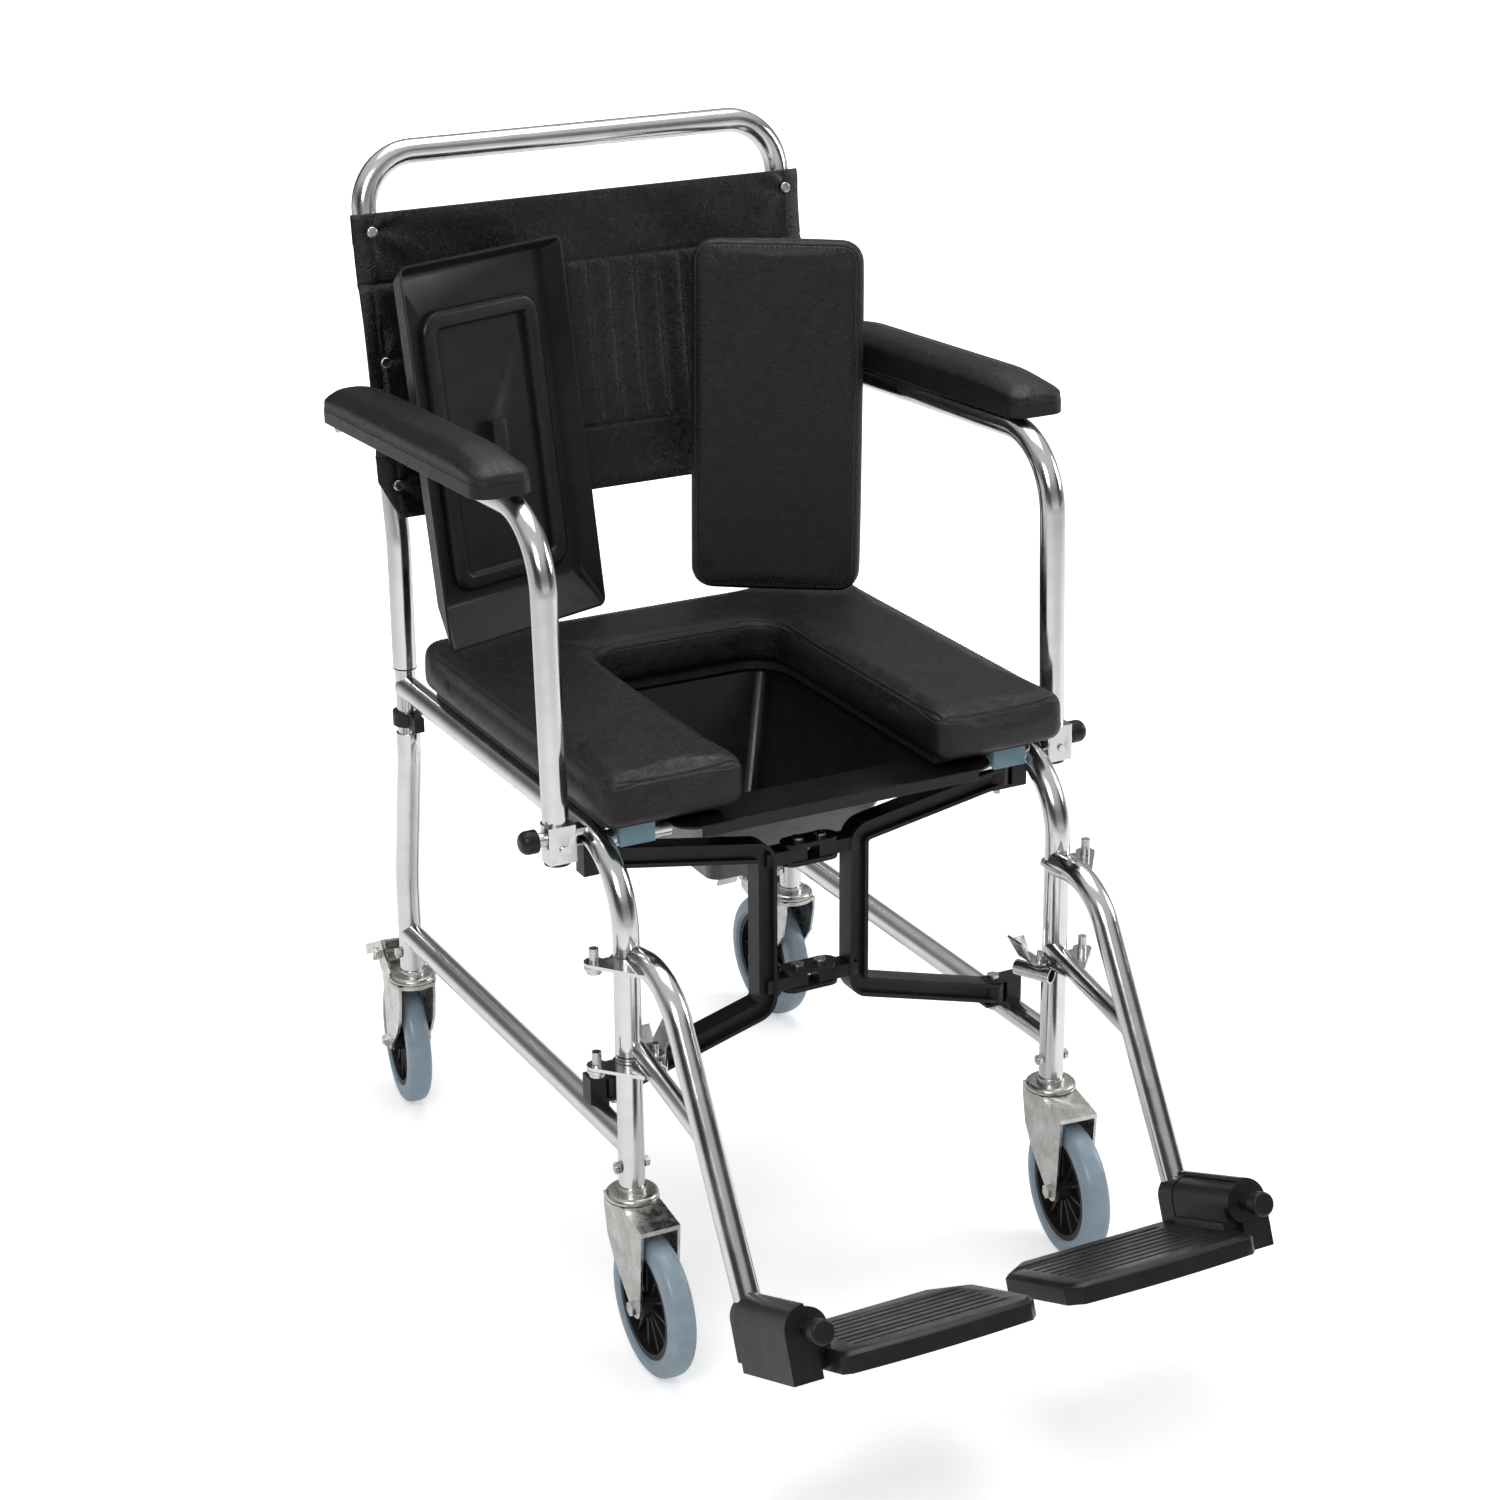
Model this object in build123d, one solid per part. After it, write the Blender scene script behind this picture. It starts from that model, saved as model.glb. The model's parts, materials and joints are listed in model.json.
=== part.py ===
from build123d import *
import os
from math import atan2, cos, degrees, radians, sin, tan

os.makedirs("parts", exist_ok=True)

# Wheeled commode and transit chair, millimetres.
# +X is the sitter's left, -Y the front, +Z up from the floor.
# Y is counted from the rear caster swivels; the finished chair is centred on the origin at the end.

# --- frame ---
HALF_TRACK = 208.3          # centre of a leg to the middle of the chair
WHEELBASE = 489.0           # front swivels to rear swivels
TUBE_R = 11.1
TUBE_WALL = 1.5
BORE_R = TUBE_R - TUBE_WALL
LEG_END_Z = 157.0           # cut end of all four legs
SEAT_RAIL_Z = 453.0
LOWER_RAIL_Z = 194.0
FRONT_BEND_R = 70.0
POST_Y = -22.0              # back posts stand this far ahead of the rear swivels
POST_JOG_LOW_Z = 250.0
POST_JOG_HIGH_Z = 385.0
POST_JOG_R = 150.0
POST_STEP_Z = 408.0         # here the rear leg steps down to its spigot
SPIGOT_R = BORE_R - 0.1
SPIGOT_WALL = 1.5
SPIGOT_TOP_Z = SEAT_RAIL_Z + 77.0
STUB_R = 8.0                # short tubes under the seat
STUB_WALL = 1.2
STUB_Z = SEAT_RAIL_Z - 1.5
STUB_INNER_X = HALF_TRACK - 62.3
STUB_FRONT_Y = -WHEELBASE + 46.0
STUB_REAR_Y = -120.0

# --- back bow ---
BOW_START_Z = 472.0
BOW_BEND_Z = 592.0          # above here the back leans
BAR_Y = 30.0
BAR_Z = 936.0
BOW_CORNER_R = 50.0
BOW_LEAN_R = 150.0
LEAN = degrees(atan2(BAR_Y - POST_Y, BAR_Z - BOW_BEND_Z))

# --- back sling, measured up the leaning posts from their bend ---
SLING_HALF = HALF_TRACK + 16.7
SLING_LOW = 24.0
SLING_HIGH = 297.0
SLING_CUT = 34.0            # cut corner at the bottom
SLING_T = 3.0
SOFT_GAP = 0.3
SCREW_HEIGHTS = (54.0, 165.0, 281.0)
SCREW_R = 2.1
SCREW_HEAD_R = 5.0

# --- casters ---
WHEEL_R = 63.5
TYRE_HALF = 12.0
HUB_R = 47.0
HUB_RIM = 5.0
HUB_BOSS_R = 11.0
SPOKES = 12
TRAIL = 40.0                # wheel centre behind the swivel
FORK_GAP = 15.5             # middle of the fork to the inside of an arm
FORK_T = 2.5
CROWN_TOP_Z = 146.0
CROWN_T = 4.0
CROWN_R = 23.0
KINGPIN_R = 6.0
KINGPIN_TOP_Z = 165.0
FORK_NOSE = (56.0, 141.0)   # front end of the fork's top plate
AXLE_R = 4.0
RUN_FIT = 0.05              # radial gap of every running fit
RACE_GAP = 0.6
RACE_R = 23.0
CROSS_BOLT_Z = 175.0
CROSS_BOLT_R = 3.0
SWIVEL = {"FL": 174.0, "FR": 179.0, "RL": 3.0, "RR": -9.0}
BRAKE_PIVOT = (62.0, 149.0)
BRAKE_PIN_R = 3.0
PEDAL_HALF = 20.6
PEDAL_AHEAD = 28.0
PEDAL_LONG = 62.0
PEDAL_TOP = 11.0            # deck above the pivot
PEDAL_SHEET = 2.0
PEDAL_TILT = 26.0
PEDAL_BOSS_R = 6.5
TONGUE_HALF = 12.0
TONGUE_LONG = 24.0
TONGUE_BEND = 40.0
SHOE = (13.0, 20.0, 19.5)   # near and far side, and how far below the pivot

# --- leg rests ---
HANG_X = HALF_TRACK - 5.0
PIN_X = HALF_TRACK + 29.2   # upright hinge pins
PIN_R = 4.0
EAR_TOPS = (272.0, 365.0)
EAR_T = 3.0
EAR_R = 8.5
PIN_UP = 15.0               # pin above its ear
PLATE_GAP = 0.3
LEG_CLEAR = 0.7
HANG_START = (-WHEELBASE - 8.0, 366.0)
HANG_KNEE = (-WHEELBASE - 64.4, 374.2)
HANG_END = (-WHEELBASE - 219.0, 113.0)
HANG_BEND_R = 62.0
STRUT_R = 8.0
STRUT_START = (-WHEELBASE - 3.0, 284.0)
STRUT_END = (-WHEELBASE - 133.0, 256.0)
LATCH_BARREL_R = 7.0
LATCH_AT = (HALF_TRACK - 21.0, -WHEELBASE - 8.0)

# --- foot ---
FOOT_Y = -WHEELBASE - 208.0
FOOT_Z = 138.4
FOOT_TILT = 22.0
BARREL_R = 17.0
KNUCKLE_R = 16.4
ROD_R = 5.0
CHEEK_FRONT = 96.0
CHEEK_T = 7.0
KNUCKLE_REAR = 13.0
HEEL_REAR = 8.0
SKIRT_REAR = -6.0
SKIRT_OUT = 20.0
SKIRT_T = 4.0
SKIRT_DOWN = 40.0
KNOB_R = 10.2
KNOB_STEM_R = 7.2
KNOB_FRONT = 123.0
PLATE_TOP = -19.5
PLATE_T = 17.0
PLATE_INNER = HANG_X - 14.3
PLATE_OUTER = 12.0
PLATE_REAR = -10.0
PLATE_FRONT = 122.0
PLATE_BOW = 5.0             # bulge of the front edge
PLATE_CUT = (30.0, 28.0)    # cut corner at the rear, across and along
GROOVES = 8
GROOVE_W = 4.0

# --- armrests, flat before they are raised about the rear pivot ---
ARM_X = HALF_TRACK + 31.7
ARM_PIVOT_Z = 705.0
PIVOT_Y = POST_Y + (ARM_PIVOT_Z - BOW_BEND_Z) * tan(radians(LEAN))
ARM_REACH = WHEELBASE - 78.0
ARM_DROP = 288.0
ARM_BEND_R = 65.0
ARM_RISE = 2.5
ARM_TAIL = 14.0
PAD_MID_X = ARM_X + 12.5
PAD_HALF = 26.5
PAD_REAR = 22.0
PAD_FRONT = ARM_REACH - 35.0
PAD_BASE_T = 12.0
PAD_T = 24.0
PAD_CORNER_R = 16.0
CATCH_TALL = 32.0
CATCH_T = 1.5
ARM_PIN_R = 3.0
ARM_PIN_UP = 20.0           # lock pin above the tube's end
ARM_PIN_SHORT = 3.2         # tip of the pin from the side of the rail
ARM_KNOB_R = 10.0
PIVOT_R = 4.0

# --- folding brace ---
BRACE_Y = -WHEELBASE + 71.0
BRACE_IN_X = 45.0
BRACE_OUT_X = HALF_TRACK - 18.3
BRACE_TALL = 18.0
BRACE_DEEP = 20.0
BRACE_TOP = (426.0, 401.0)  # heights at the clamp and at the middle
BRACE_LOW = (215.0, 256.0)
BRACE_CORNER_R = 12.0
LINK_HEIGHTS = (393.0, 274.0)
LINK_HALF = 27.0
LINK_SCREW_X = 11.0
LINK_T = 4.0
LUG_HALF = 6.0
BRACE_LIP = 3.5
BRACE_HOLLOW = 5.0
FORK_ROOM = 0.4             # above and below an arm in its clamp
CLAMP_DOWN = 3.0
CLAMP_UP = 3.0
CLAMP_DEEP = 16.0
BOLT_R = 3.0

# --- seat ---
SEAT_HALF = HALF_TRACK + 13.7
SEAT_FRONT_Y = -WHEELBASE + 2.0
SEAT_REAR_Y = -72.0
SEAT_CORNER_R = 28.0
SLOT_HALF = 88.0
SLOT_REAR_Y = -176.0
SLOT_CORNER_R = 24.0
SEAT_TOP_Z = SEAT_RAIL_Z + 66.0
BOARD_INSET = 14.0
BOARD_BACK = 16.0           # the board's front edge stops this much further back
BOARD_GAP = 0.3
BOARD_T = 9.6
BOARD_Z = SEAT_RAIL_Z + TUBE_R + BOARD_GAP
CLIP_INNER_X = HALF_TRACK - 45.3
CLIP_OUTER_X = HALF_TRACK - 13.3
CLIP_T = 3.0
CLIP_DOWN = 5.0

# --- pan ---
PAN_T = 2.5
PAN_RIM_HALF = STUB_INNER_X + 6.0
PAN_RIM_FRONT_Y = SEAT_FRONT_Y + 7.0
PAN_RIM_REAR_Y = -110.0
PAN_TUB_HALF = 98.0
PAN_TUB_FRONT_Y = -WHEELBASE + 56.0
PAN_TUB_REAR_Y = -160.0
PAN_DEEP = 108.0
PAN_DRAFT = 32.0
PAN_FRONT_DRAFT = 70.0
PAN_CORNER_R = 20.0
PAN_EDGE_DEEP = 8.0

# --- pan lid and insert cushion, standing on the seat ---
LID_AT = (-117.0, -106.0)
LID_YAW = 18.0
LID_LEAN = 8.0
LID_WIDE = 190.0
LID_TALL = 344.0
LID_T = 20.0
LID_WALL = 2.5
LID_CORNER_R = 8.0
LID_DRAFT = 8.0             # the sides and the top slope in by this much to the back
LID_RAMP = 32.0             # and the foot by this much
BEAD_INSET = (26.0, 45.0)   # from the sides and from the ends
BEAD_W = 18.0
BEAD_UP = 8.0
BEAD_R = 22.0
TAB_HALF = 8.0
TAB_UP = 12.0
INSERT_AT = (120.5, -131.0)
INSERT_YAW = -35.0
INSERT_LEAN = 6.6
INSERT_WIDE = 163.0
INSERT_TALL = 330.0
INSERT_T = 24.0

nodes = {}


def keep_pair(name, left):
    """Stores a left piece and its mirror image."""
    nodes[name + "_L"] = left
    nodes[name + "_R"] = mirror(left, about=Plane.YZ)


def with_mirror(left):
    """A left piece and its mirror image as one group."""
    return Compound(children=list(left.solids()) + list(mirror(left, about=Plane.YZ).solids()))


def bar(points, bends, radius):
    """A solid round bar along the points, with one bend radius for each inner point."""
    path = FilletPolyline(*points, radius=bends) if bends else Line(*points)
    return sweep(Plane(origin=path @ 0, z_dir=path % 0) * Circle(radius), path=path)


def tube(points, bends, radius=TUBE_R, wall=TUBE_WALL):
    """A hollow bent tube, open at both ends."""
    return bar(points, bends, radius) - bar(points, bends, radius - wall)


def upright(x, y, radius, low, high):
    """A cylinder along Z from one height to another."""
    return Pos(x, y, (low + high) / 2) * Cylinder(radius, high - low)


def across(y, z, radius, low, high):
    """A cylinder along X."""
    return Pos((low + high) / 2, y, z) * Rot(Y=90) * Cylinder(radius, high - low)


def along(x, z, radius, low, high):
    """A cylinder along Y."""
    return Pos(x, (low + high) / 2, z) * Rot(X=90) * Cylinder(radius, high - low)


def block(low, high):
    """A box between two corners."""
    size = [b - a for a, b in zip(low, high)]
    return Pos(*[(a + b) / 2 for a, b in zip(low, high)]) * Box(*size)


# ---------- frame ----------
def front_tube_path():
    """Front leg, bend and seat rail in one tube."""
    corner = (HALF_TRACK, -WHEELBASE, SEAT_RAIL_Z)
    return [(HALF_TRACK, -WHEELBASE, LEG_END_Z), corner, (HALF_TRACK, POST_Y, SEAT_RAIL_Z)]


def arm_pin_place():
    """Y and Z of the armrest's lock pin, raised with the armrest."""
    y = -ARM_REACH
    z = -ARM_DROP + ARM_PIN_UP
    rise = radians(ARM_RISE)
    return PIVOT_Y + y * cos(rise) + z * sin(rise), ARM_PIVOT_Z - y * sin(rise) + z * cos(rise)


def front_tube():
    """Front tube with the open saddle that the armrest's lock pin rests in."""
    y, z = arm_pin_place()
    saddle = block((HALF_TRACK, y - 6, z - 9), (ARM_X - TUBE_R - CATCH_T - 0.5, y + 8, z + 6))
    slot = Rot(X=-degrees(atan2(ARM_PIVOT_Z - z, y - PIVOT_Y)) - 90) * block((-50, -3.4, 0), (50, 3.4, 40))
    slot += across(0, 0, 3.4, -50, 50)
    saddle -= Pos(HALF_TRACK, y, z) * slot
    whole = bar(front_tube_path(), [FRONT_BEND_R], TUBE_R) + saddle
    whole -= bar(front_tube_path(), [FRONT_BEND_R], BORE_R)
    whole -= upright(HALF_TRACK, POST_Y, SPIGOT_R, SEAT_RAIL_Z - 40, SEAT_RAIL_Z + 40)
    return whole - cross_bolt(-WHEELBASE)


def rear_post():
    """Rear leg with its jog, and the spigot that the bow slides over."""
    foot = [(HALF_TRACK, 0, LEG_END_Z), (HALF_TRACK, 0, POST_JOG_LOW_Z)]
    head = [(HALF_TRACK, POST_Y, POST_JOG_HIGH_Z), (HALF_TRACK, POST_Y, POST_STEP_Z)]
    leg = tube(foot + head, [POST_JOG_R, POST_JOG_R])
    low = POST_STEP_Z - 10
    spigot = upright(HALF_TRACK, POST_Y, SPIGOT_R, POST_STEP_Z, SPIGOT_TOP_Z)
    spigot += upright(HALF_TRACK, POST_Y, BORE_R, low, POST_STEP_Z)
    spigot -= upright(HALF_TRACK, POST_Y, SPIGOT_R - SPIGOT_WALL, low, SPIGOT_TOP_Z)
    return leg + spigot - cross_bolt(0)


def lower_rail():
    """Straight rail between the legs, coped to both."""
    rail = tube([(HALF_TRACK, -WHEELBASE, LOWER_RAIL_Z), (HALF_TRACK, 0, LOWER_RAIL_Z)], [])
    for y in (-WHEELBASE, 0):
        rail -= upright(HALF_TRACK, y, TUBE_R, LOWER_RAIL_Z - 30, LOWER_RAIL_Z + 30)
    return rail


def seat_stubs():
    """Short open tubes welded inside the seat rail, front and rear."""
    group = []
    for y in (STUB_FRONT_Y, STUB_REAR_Y):
        stub = across(y, STUB_Z, STUB_R, STUB_INNER_X, HALF_TRACK)
        stub -= across(y, STUB_Z, STUB_R - STUB_WALL, STUB_INNER_X, HALF_TRACK)
        stub -= bar(front_tube_path(), [FRONT_BEND_R], TUBE_R)
        group.append(stub)
    return with_mirror(Compound(children=group))


def lean(piece):
    """Leans a piece that is drawn on an upright post back to the line of the bow."""
    return Pos(0, POST_Y, BOW_BEND_Z) * Rot(X=-LEAN) * piece


def sling_screw(side, height, radius, front, back):
    """A cylinder along the line of one sling screw, in the leaning frame."""
    return along(side * HALF_TRACK, height, radius, front, back)


def back_bow():
    """Both back posts and the push bar as one bent tube."""
    points = [(-HALF_TRACK, POST_Y, BOW_START_Z), (-HALF_TRACK, POST_Y, BOW_BEND_Z),
              (-HALF_TRACK, BAR_Y, BAR_Z), (HALF_TRACK, BAR_Y, BAR_Z),
              (HALF_TRACK, POST_Y, BOW_BEND_Z), (HALF_TRACK, POST_Y, BOW_START_Z)]
    bow = tube(points, [BOW_LEAN_R, BOW_CORNER_R, BOW_CORNER_R, BOW_LEAN_R])
    for height in SCREW_HEIGHTS:
        for side in (-1, 1):
            bow -= lean(sling_screw(side, height, SCREW_R, -TUBE_R - 1, 0))
    return bow


def bow_clips():
    """Black spring clips round the spigots, just under the seat rails."""
    low = POST_STEP_Z + 8
    high = SEAT_RAIL_Z - TUBE_R - 12
    clip = upright(HALF_TRACK, POST_Y, TUBE_R + 2.5, low, high)
    clip += block((HALF_TRACK - 5, POST_Y - 30, low), (HALF_TRACK + 5, POST_Y, high))
    clip -= upright(HALF_TRACK, POST_Y, SPIGOT_R, low, high)
    return with_mirror(clip)


def back_sling():
    """Flat sling across the front of the leaning posts, bottom corners cut away."""
    cut_in = SLING_HALF - 16
    right = [(SLING_HALF, SLING_HIGH), (SLING_HALF, SLING_LOW + SLING_CUT), (cut_in, SLING_LOW)]
    left = [(-x, z) for x, z in reversed(right)]
    sheet = extrude(Plane.XZ * make_face(Polyline(*right, *left, close=True)), amount=SLING_T)
    sheet = Pos(0, -TUBE_R - SOFT_GAP, 0) * sheet
    for height in SCREW_HEIGHTS:
        for side in (-1, 1):
            sheet -= sling_screw(side, height, SCREW_R, -30, 0)
    return lean(sheet)


def sling_screws():
    """Six round-headed screws through the sling into the posts."""
    face = -TUBE_R - SOFT_GAP - SLING_T
    screws = []
    for height in SCREW_HEIGHTS:
        for side in (-1, 1):
            head = sling_screw(side, height, SCREW_HEAD_R, face - 2.6, face)
            head = fillet(head.edges().group_by(Axis.Y)[0], 1.6)
            screws.append(lean(head + sling_screw(side, height, SCREW_R, face, -BORE_R + 2)))
    return Compound(children=screws)


# ---------- casters ----------
def cross_bolt(y):
    """The bolt that holds a caster's plug in a leg."""
    bolt = across(y, CROSS_BOLT_Z, CROSS_BOLT_R, HALF_TRACK - TUBE_R - 5, HALF_TRACK + TUBE_R + 5)
    return bolt


def leg_bolts():
    """Cross bolts with a round head outside and a nut inside."""
    group = []
    for y in (-WHEELBASE, 0):
        bolt = cross_bolt(y)
        outer = HALF_TRACK + TUBE_R
        bolt += across(y, CROSS_BOLT_Z, 5, outer, outer + 4)
        inner = HALF_TRACK - TUBE_R
        nut = Pos(inner - 4, y, CROSS_BOLT_Z) * Rot(Y=90) * extrude(RegularPolygon(5.2, 6), amount=4)
        leg = upright(HALF_TRACK, y, TUBE_R, CROSS_BOLT_Z - 20, CROSS_BOLT_Z + 20)
        group.append((bolt + nut - leg) + cross_bolt(y))
    return with_mirror(Compound(children=group))


def caster_races():
    """Swivel race and leg plug of each caster, fixed in the leg."""
    low = CROWN_TOP_Z + RACE_GAP
    group = []
    for y in (-WHEELBASE, 0):
        race = upright(HALF_TRACK, y, RACE_R, low, low + 5.5)
        race = fillet(race.edges().group_by(Axis.Z)[-1], 4.5)
        race += upright(HALF_TRACK, y, TUBE_R + 2, low + 5.5, LEG_END_Z)
        race += upright(HALF_TRACK, y, BORE_R - 0.1, LEG_END_Z, CROSS_BOLT_Z + 12)
        race -= upright(HALF_TRACK, y, KINGPIN_R + RUN_FIT, low, KINGPIN_TOP_Z + 0.6)
        group.append(race - cross_bolt(y))
    return with_mirror(Compound(children=group))


def fork_arm_outline(braked):
    """Side view of one fork arm, from the crown down to the axle."""
    top = CROWN_TOP_Z
    points = [(-19, top), (20, top), FORK_NOSE, (TRAIL + 10, WHEEL_R), (TRAIL, WHEEL_R - 9),
              (TRAIL - 9, WHEEL_R - 3), (0, 89), (-13, 107), (-19, top - 12)]
    outline = make_face(Polyline(*points, close=True))
    outline += Pos(TRAIL, WHEEL_R) * Circle(9.5)
    if braked:
        y, z = BRAKE_PIVOT
        cheek = [(15, top), (y - 4, z + 9), (y + 9, z + 2), (y + 6, z - 16), (y - 16, z - 24), (18, top - 24)]
        outline += make_face(Polyline(*cheek, close=True))
    return outline


def fork(braked):
    """Pressed fork, kingpin and axle bolt; the wheel trails towards +Y."""
    arm = extrude(Plane.YZ * fork_arm_outline(braked), amount=FORK_T)
    body = Pos(FORK_GAP, 0, 0) * arm + Pos(-FORK_GAP - FORK_T, 0, 0) * arm
    body += upright(0, 0, CROWN_R, CROWN_TOP_Z - CROWN_T, CROWN_TOP_Z)
    nose_y, nose_z = FORK_NOSE
    roof = [(-19, CROWN_TOP_Z), (20, CROWN_TOP_Z), FORK_NOSE, (nose_y, nose_z - CROWN_T),
            (20, CROWN_TOP_Z - CROWN_T), (-19, CROWN_TOP_Z - CROWN_T)]
    roof = Plane.YZ * make_face(Polyline(*roof, close=True))
    body += Pos(-FORK_GAP - FORK_T, 0, 0) * extrude(roof, amount=2 * (FORK_GAP + FORK_T))
    body += upright(0, 0, KINGPIN_R, CROWN_TOP_Z - CROWN_T, KINGPIN_TOP_Z)
    if braked:
        y, z = BRAKE_PIVOT
        body += across(y, z, BRAKE_PIN_R, -PEDAL_HALF - 2.6, PEDAL_HALF + 2.6)
        for side in (-1, 1):
            body += across(y, z, 4.6, *sorted((side * (PEDAL_HALF + 0.3), side * (PEDAL_HALF + 2.6))))
    body -= across(TRAIL, WHEEL_R, AXLE_R, -30, 30)
    reach = FORK_GAP + FORK_T
    bolt = across(TRAIL, WHEEL_R, AXLE_R, -reach - 7, reach + 5)
    for place in (-reach - 5, reach):
        nut = extrude(RegularPolygon(6.8, 6), amount=5)
        bolt += Pos(place, TRAIL, WHEEL_R) * Rot(Y=90) * nut
    return Compound(children=list(body.solids()) + list(bolt.solids()))


def hub():
    """Moulded hub: rim, thin web, spokes and centre boss, axis along X."""
    rim = Cylinder(HUB_R, 20) - Cylinder(HUB_R - HUB_RIM, 20)
    web = Cylinder(HUB_R - HUB_RIM, 3) + Cylinder(HUB_BOSS_R, 2 * FORK_GAP - 0.6)
    for index in range(SPOKES):
        spoke = Pos((HUB_R - HUB_RIM) / 2, 0, 0) * Box(HUB_R - HUB_RIM, 2.4, 13)
        web += Rot(Z=index * 360 / SPOKES) * spoke
    whole = rim + web - Cylinder(AXLE_R + RUN_FIT, 60)
    return Pos(0, TRAIL, WHEEL_R) * Rot(Y=90) * whole


def tyre():
    """Solid round-shouldered tyre on the hub's rim."""
    section = Rectangle(WHEEL_R - HUB_R, 2 * TYRE_HALF)
    section = fillet(section.vertices().group_by(Axis.X)[-1], TYRE_HALF - 2)
    ring = Plane.XZ * (Pos((WHEEL_R + HUB_R) / 2, 0) * section)
    return Pos(0, TRAIL, WHEEL_R) * Rot(Y=90) * revolve(ring, Axis.Z)


def brake_pedal():
    """Channel-shaped foot pedal over the wheel, with its shoe; drawn level at its pivot."""
    low = PEDAL_TOP - PEDAL_SHEET
    deck = block((-PEDAL_HALF, -PEDAL_AHEAD, low), (PEDAL_HALF, PEDAL_LONG, PEDAL_TOP))
    for side in (-1, 1):
        inner, outer = sorted((side * (FORK_GAP + FORK_T + SOFT_GAP), side * PEDAL_HALF))
        deck += block((inner, -PEDAL_AHEAD, 1), (outer, PEDAL_LONG, PEDAL_TOP))
        deck += across(0, 0, PEDAL_BOSS_R, inner, outer)
    deck += block((-9, SHOE[0], -SHOE[2]), (9, SHOE[1], PEDAL_TOP))
    tongue = block((-TONGUE_HALF, 0, -PEDAL_SHEET), (TONGUE_HALF, TONGUE_LONG, 0))
    deck += Pos(0, PEDAL_LONG - 1, PEDAL_TOP) * Rot(X=-TONGUE_BEND) * tongue
    deck -= across(0, 0, BRAKE_PIN_R + RUN_FIT, -40, 40)
    return Pos(0, *BRAKE_PIVOT) * Rot(X=-PEDAL_TILT) * deck


def casters():
    """Four casters turned as they stand, wheels in place."""
    for corner, turn in SWIVEL.items():
        x = HALF_TRACK if corner.endswith("L") else -HALF_TRACK
        y = -WHEELBASE if corner.startswith("F") else 0
        braked = corner.startswith("R")
        place = Pos(x, y, 0) * Rot(Z=turn)
        nodes["caster_fork_" + corner] = place * fork(braked)
        nodes["caster_hub_" + corner] = place * hub()
        nodes["caster_tyre_" + corner] = place * tyre()
        if braked:
            nodes["brake_pedal_" + corner] = place * brake_pedal()


# ---------- leg rests ----------
def hanger_ears():
    """Welded ears on the front legs, each with its upright pin."""
    group = []
    for top in EAR_TOPS:
        low = top - EAR_T
        ear = upright(PIN_X, -WHEELBASE, EAR_R, low, top)
        ear += block((HALF_TRACK, -WHEELBASE - 7, low), (PIN_X, -WHEELBASE + EAR_R, top))
        ear += upright(HALF_TRACK, -WHEELBASE, TUBE_R + 3, low, top) & block(
            (HALF_TRACK - 20, -WHEELBASE - 7, low), (HALF_TRACK + 20, -WHEELBASE + 20, top))
        ear -= upright(HALF_TRACK, -WHEELBASE, TUBE_R, low, top)
        ear += upright(PIN_X, -WHEELBASE, PIN_R, low - 4, top + PIN_UP)
        ear += upright(PIN_X, -WHEELBASE, 6.5, low - 4, low)
        group.append(ear)
    return with_mirror(Compound(children=group))


def hanger():
    """Bent leg rest tube, strut, two hinge plates and latch barrel, welded together."""
    points = [(HANG_X, *HANG_START), (HANG_X, *HANG_KNEE), (HANG_X, *HANG_END)]
    strut_points = [(HANG_X, *STRUT_START), (HANG_X, *STRUT_END)]
    whole = bar(points, [HANG_BEND_R], TUBE_R) + bar(strut_points, [], STRUT_R)
    for top, reach in zip(EAR_TOPS, (40, 46)):
        low = top + PLATE_GAP
        front = -WHEELBASE - reach
        whole += upright(PIN_X, -WHEELBASE, EAR_R, low, low + EAR_T)
        web = [(PIN_X, -WHEELBASE - 0.5), (PIN_X + 7.6, -WHEELBASE - 3.5), (HANG_X + 10, front),
               (HANG_X - 10, front), (HANG_X - 13, -WHEELBASE - 1)]
        whole += Pos(0, 0, low) * extrude(make_face(Polyline(*web, close=True)), amount=EAR_T)
    low = EAR_TOPS[0] + PLATE_GAP
    latch = latch_line(LATCH_BARREL_R)
    whole += latch + upright(*LATCH_AT, 2.5, low, low + 14)
    whole -= upright(HALF_TRACK, -WHEELBASE, TUBE_R + LEG_CLEAR, 100, 440)
    whole -= bar(points, [HANG_BEND_R], BORE_R)
    whole -= latch_line(LATCH_BARREL_R - 1.2)
    for top in EAR_TOPS:
        whole -= upright(PIN_X, -WHEELBASE, PIN_R + RUN_FIT, top - 2, top + 20)
    return whole


def latch_line(radius):
    """Small open barrel beside the leg, slanting inwards to the rear."""
    z = EAR_TOPS[0] - LATCH_BARREL_R + 2
    rear = (LATCH_AT[0] - 12, LATCH_AT[1] + 18, z)
    front = (LATCH_AT[0] + 4, LATCH_AT[1] - 14, z)
    return bar([rear, front], [], radius)


def latch_lever():
    """Stamped release lever with two upturned wings, on a rivet."""
    low = EAR_TOPS[0] + PLATE_GAP + EAR_T + 0.3
    x, y = LATCH_AT
    blade = upright(x, y, 8, low, low + 2)
    blade += block((x - 8, y, low), (x + 3, y + 20, low + 2))
    wing = Pos(x - 8, y + 10, low) * Rot(Y=-30) * block((0, -10, 0), (2, 12, 24))
    tail = Pos(x - 3, y + 18, low) * Rot(X=-35) * block((-5, 0, 0), (5, 2, 18))
    blade += wing + tail
    return blade - upright(x, y, 2.5 + RUN_FIT, low - 10, low + 10)


def foot_place(piece):
    """Tilts a foot piece that is drawn level and sets it at the end of the hanger."""
    return Pos(HANG_X, FOOT_Y, FOOT_Z) * Rot(X=-FOOT_TILT) * piece


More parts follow.
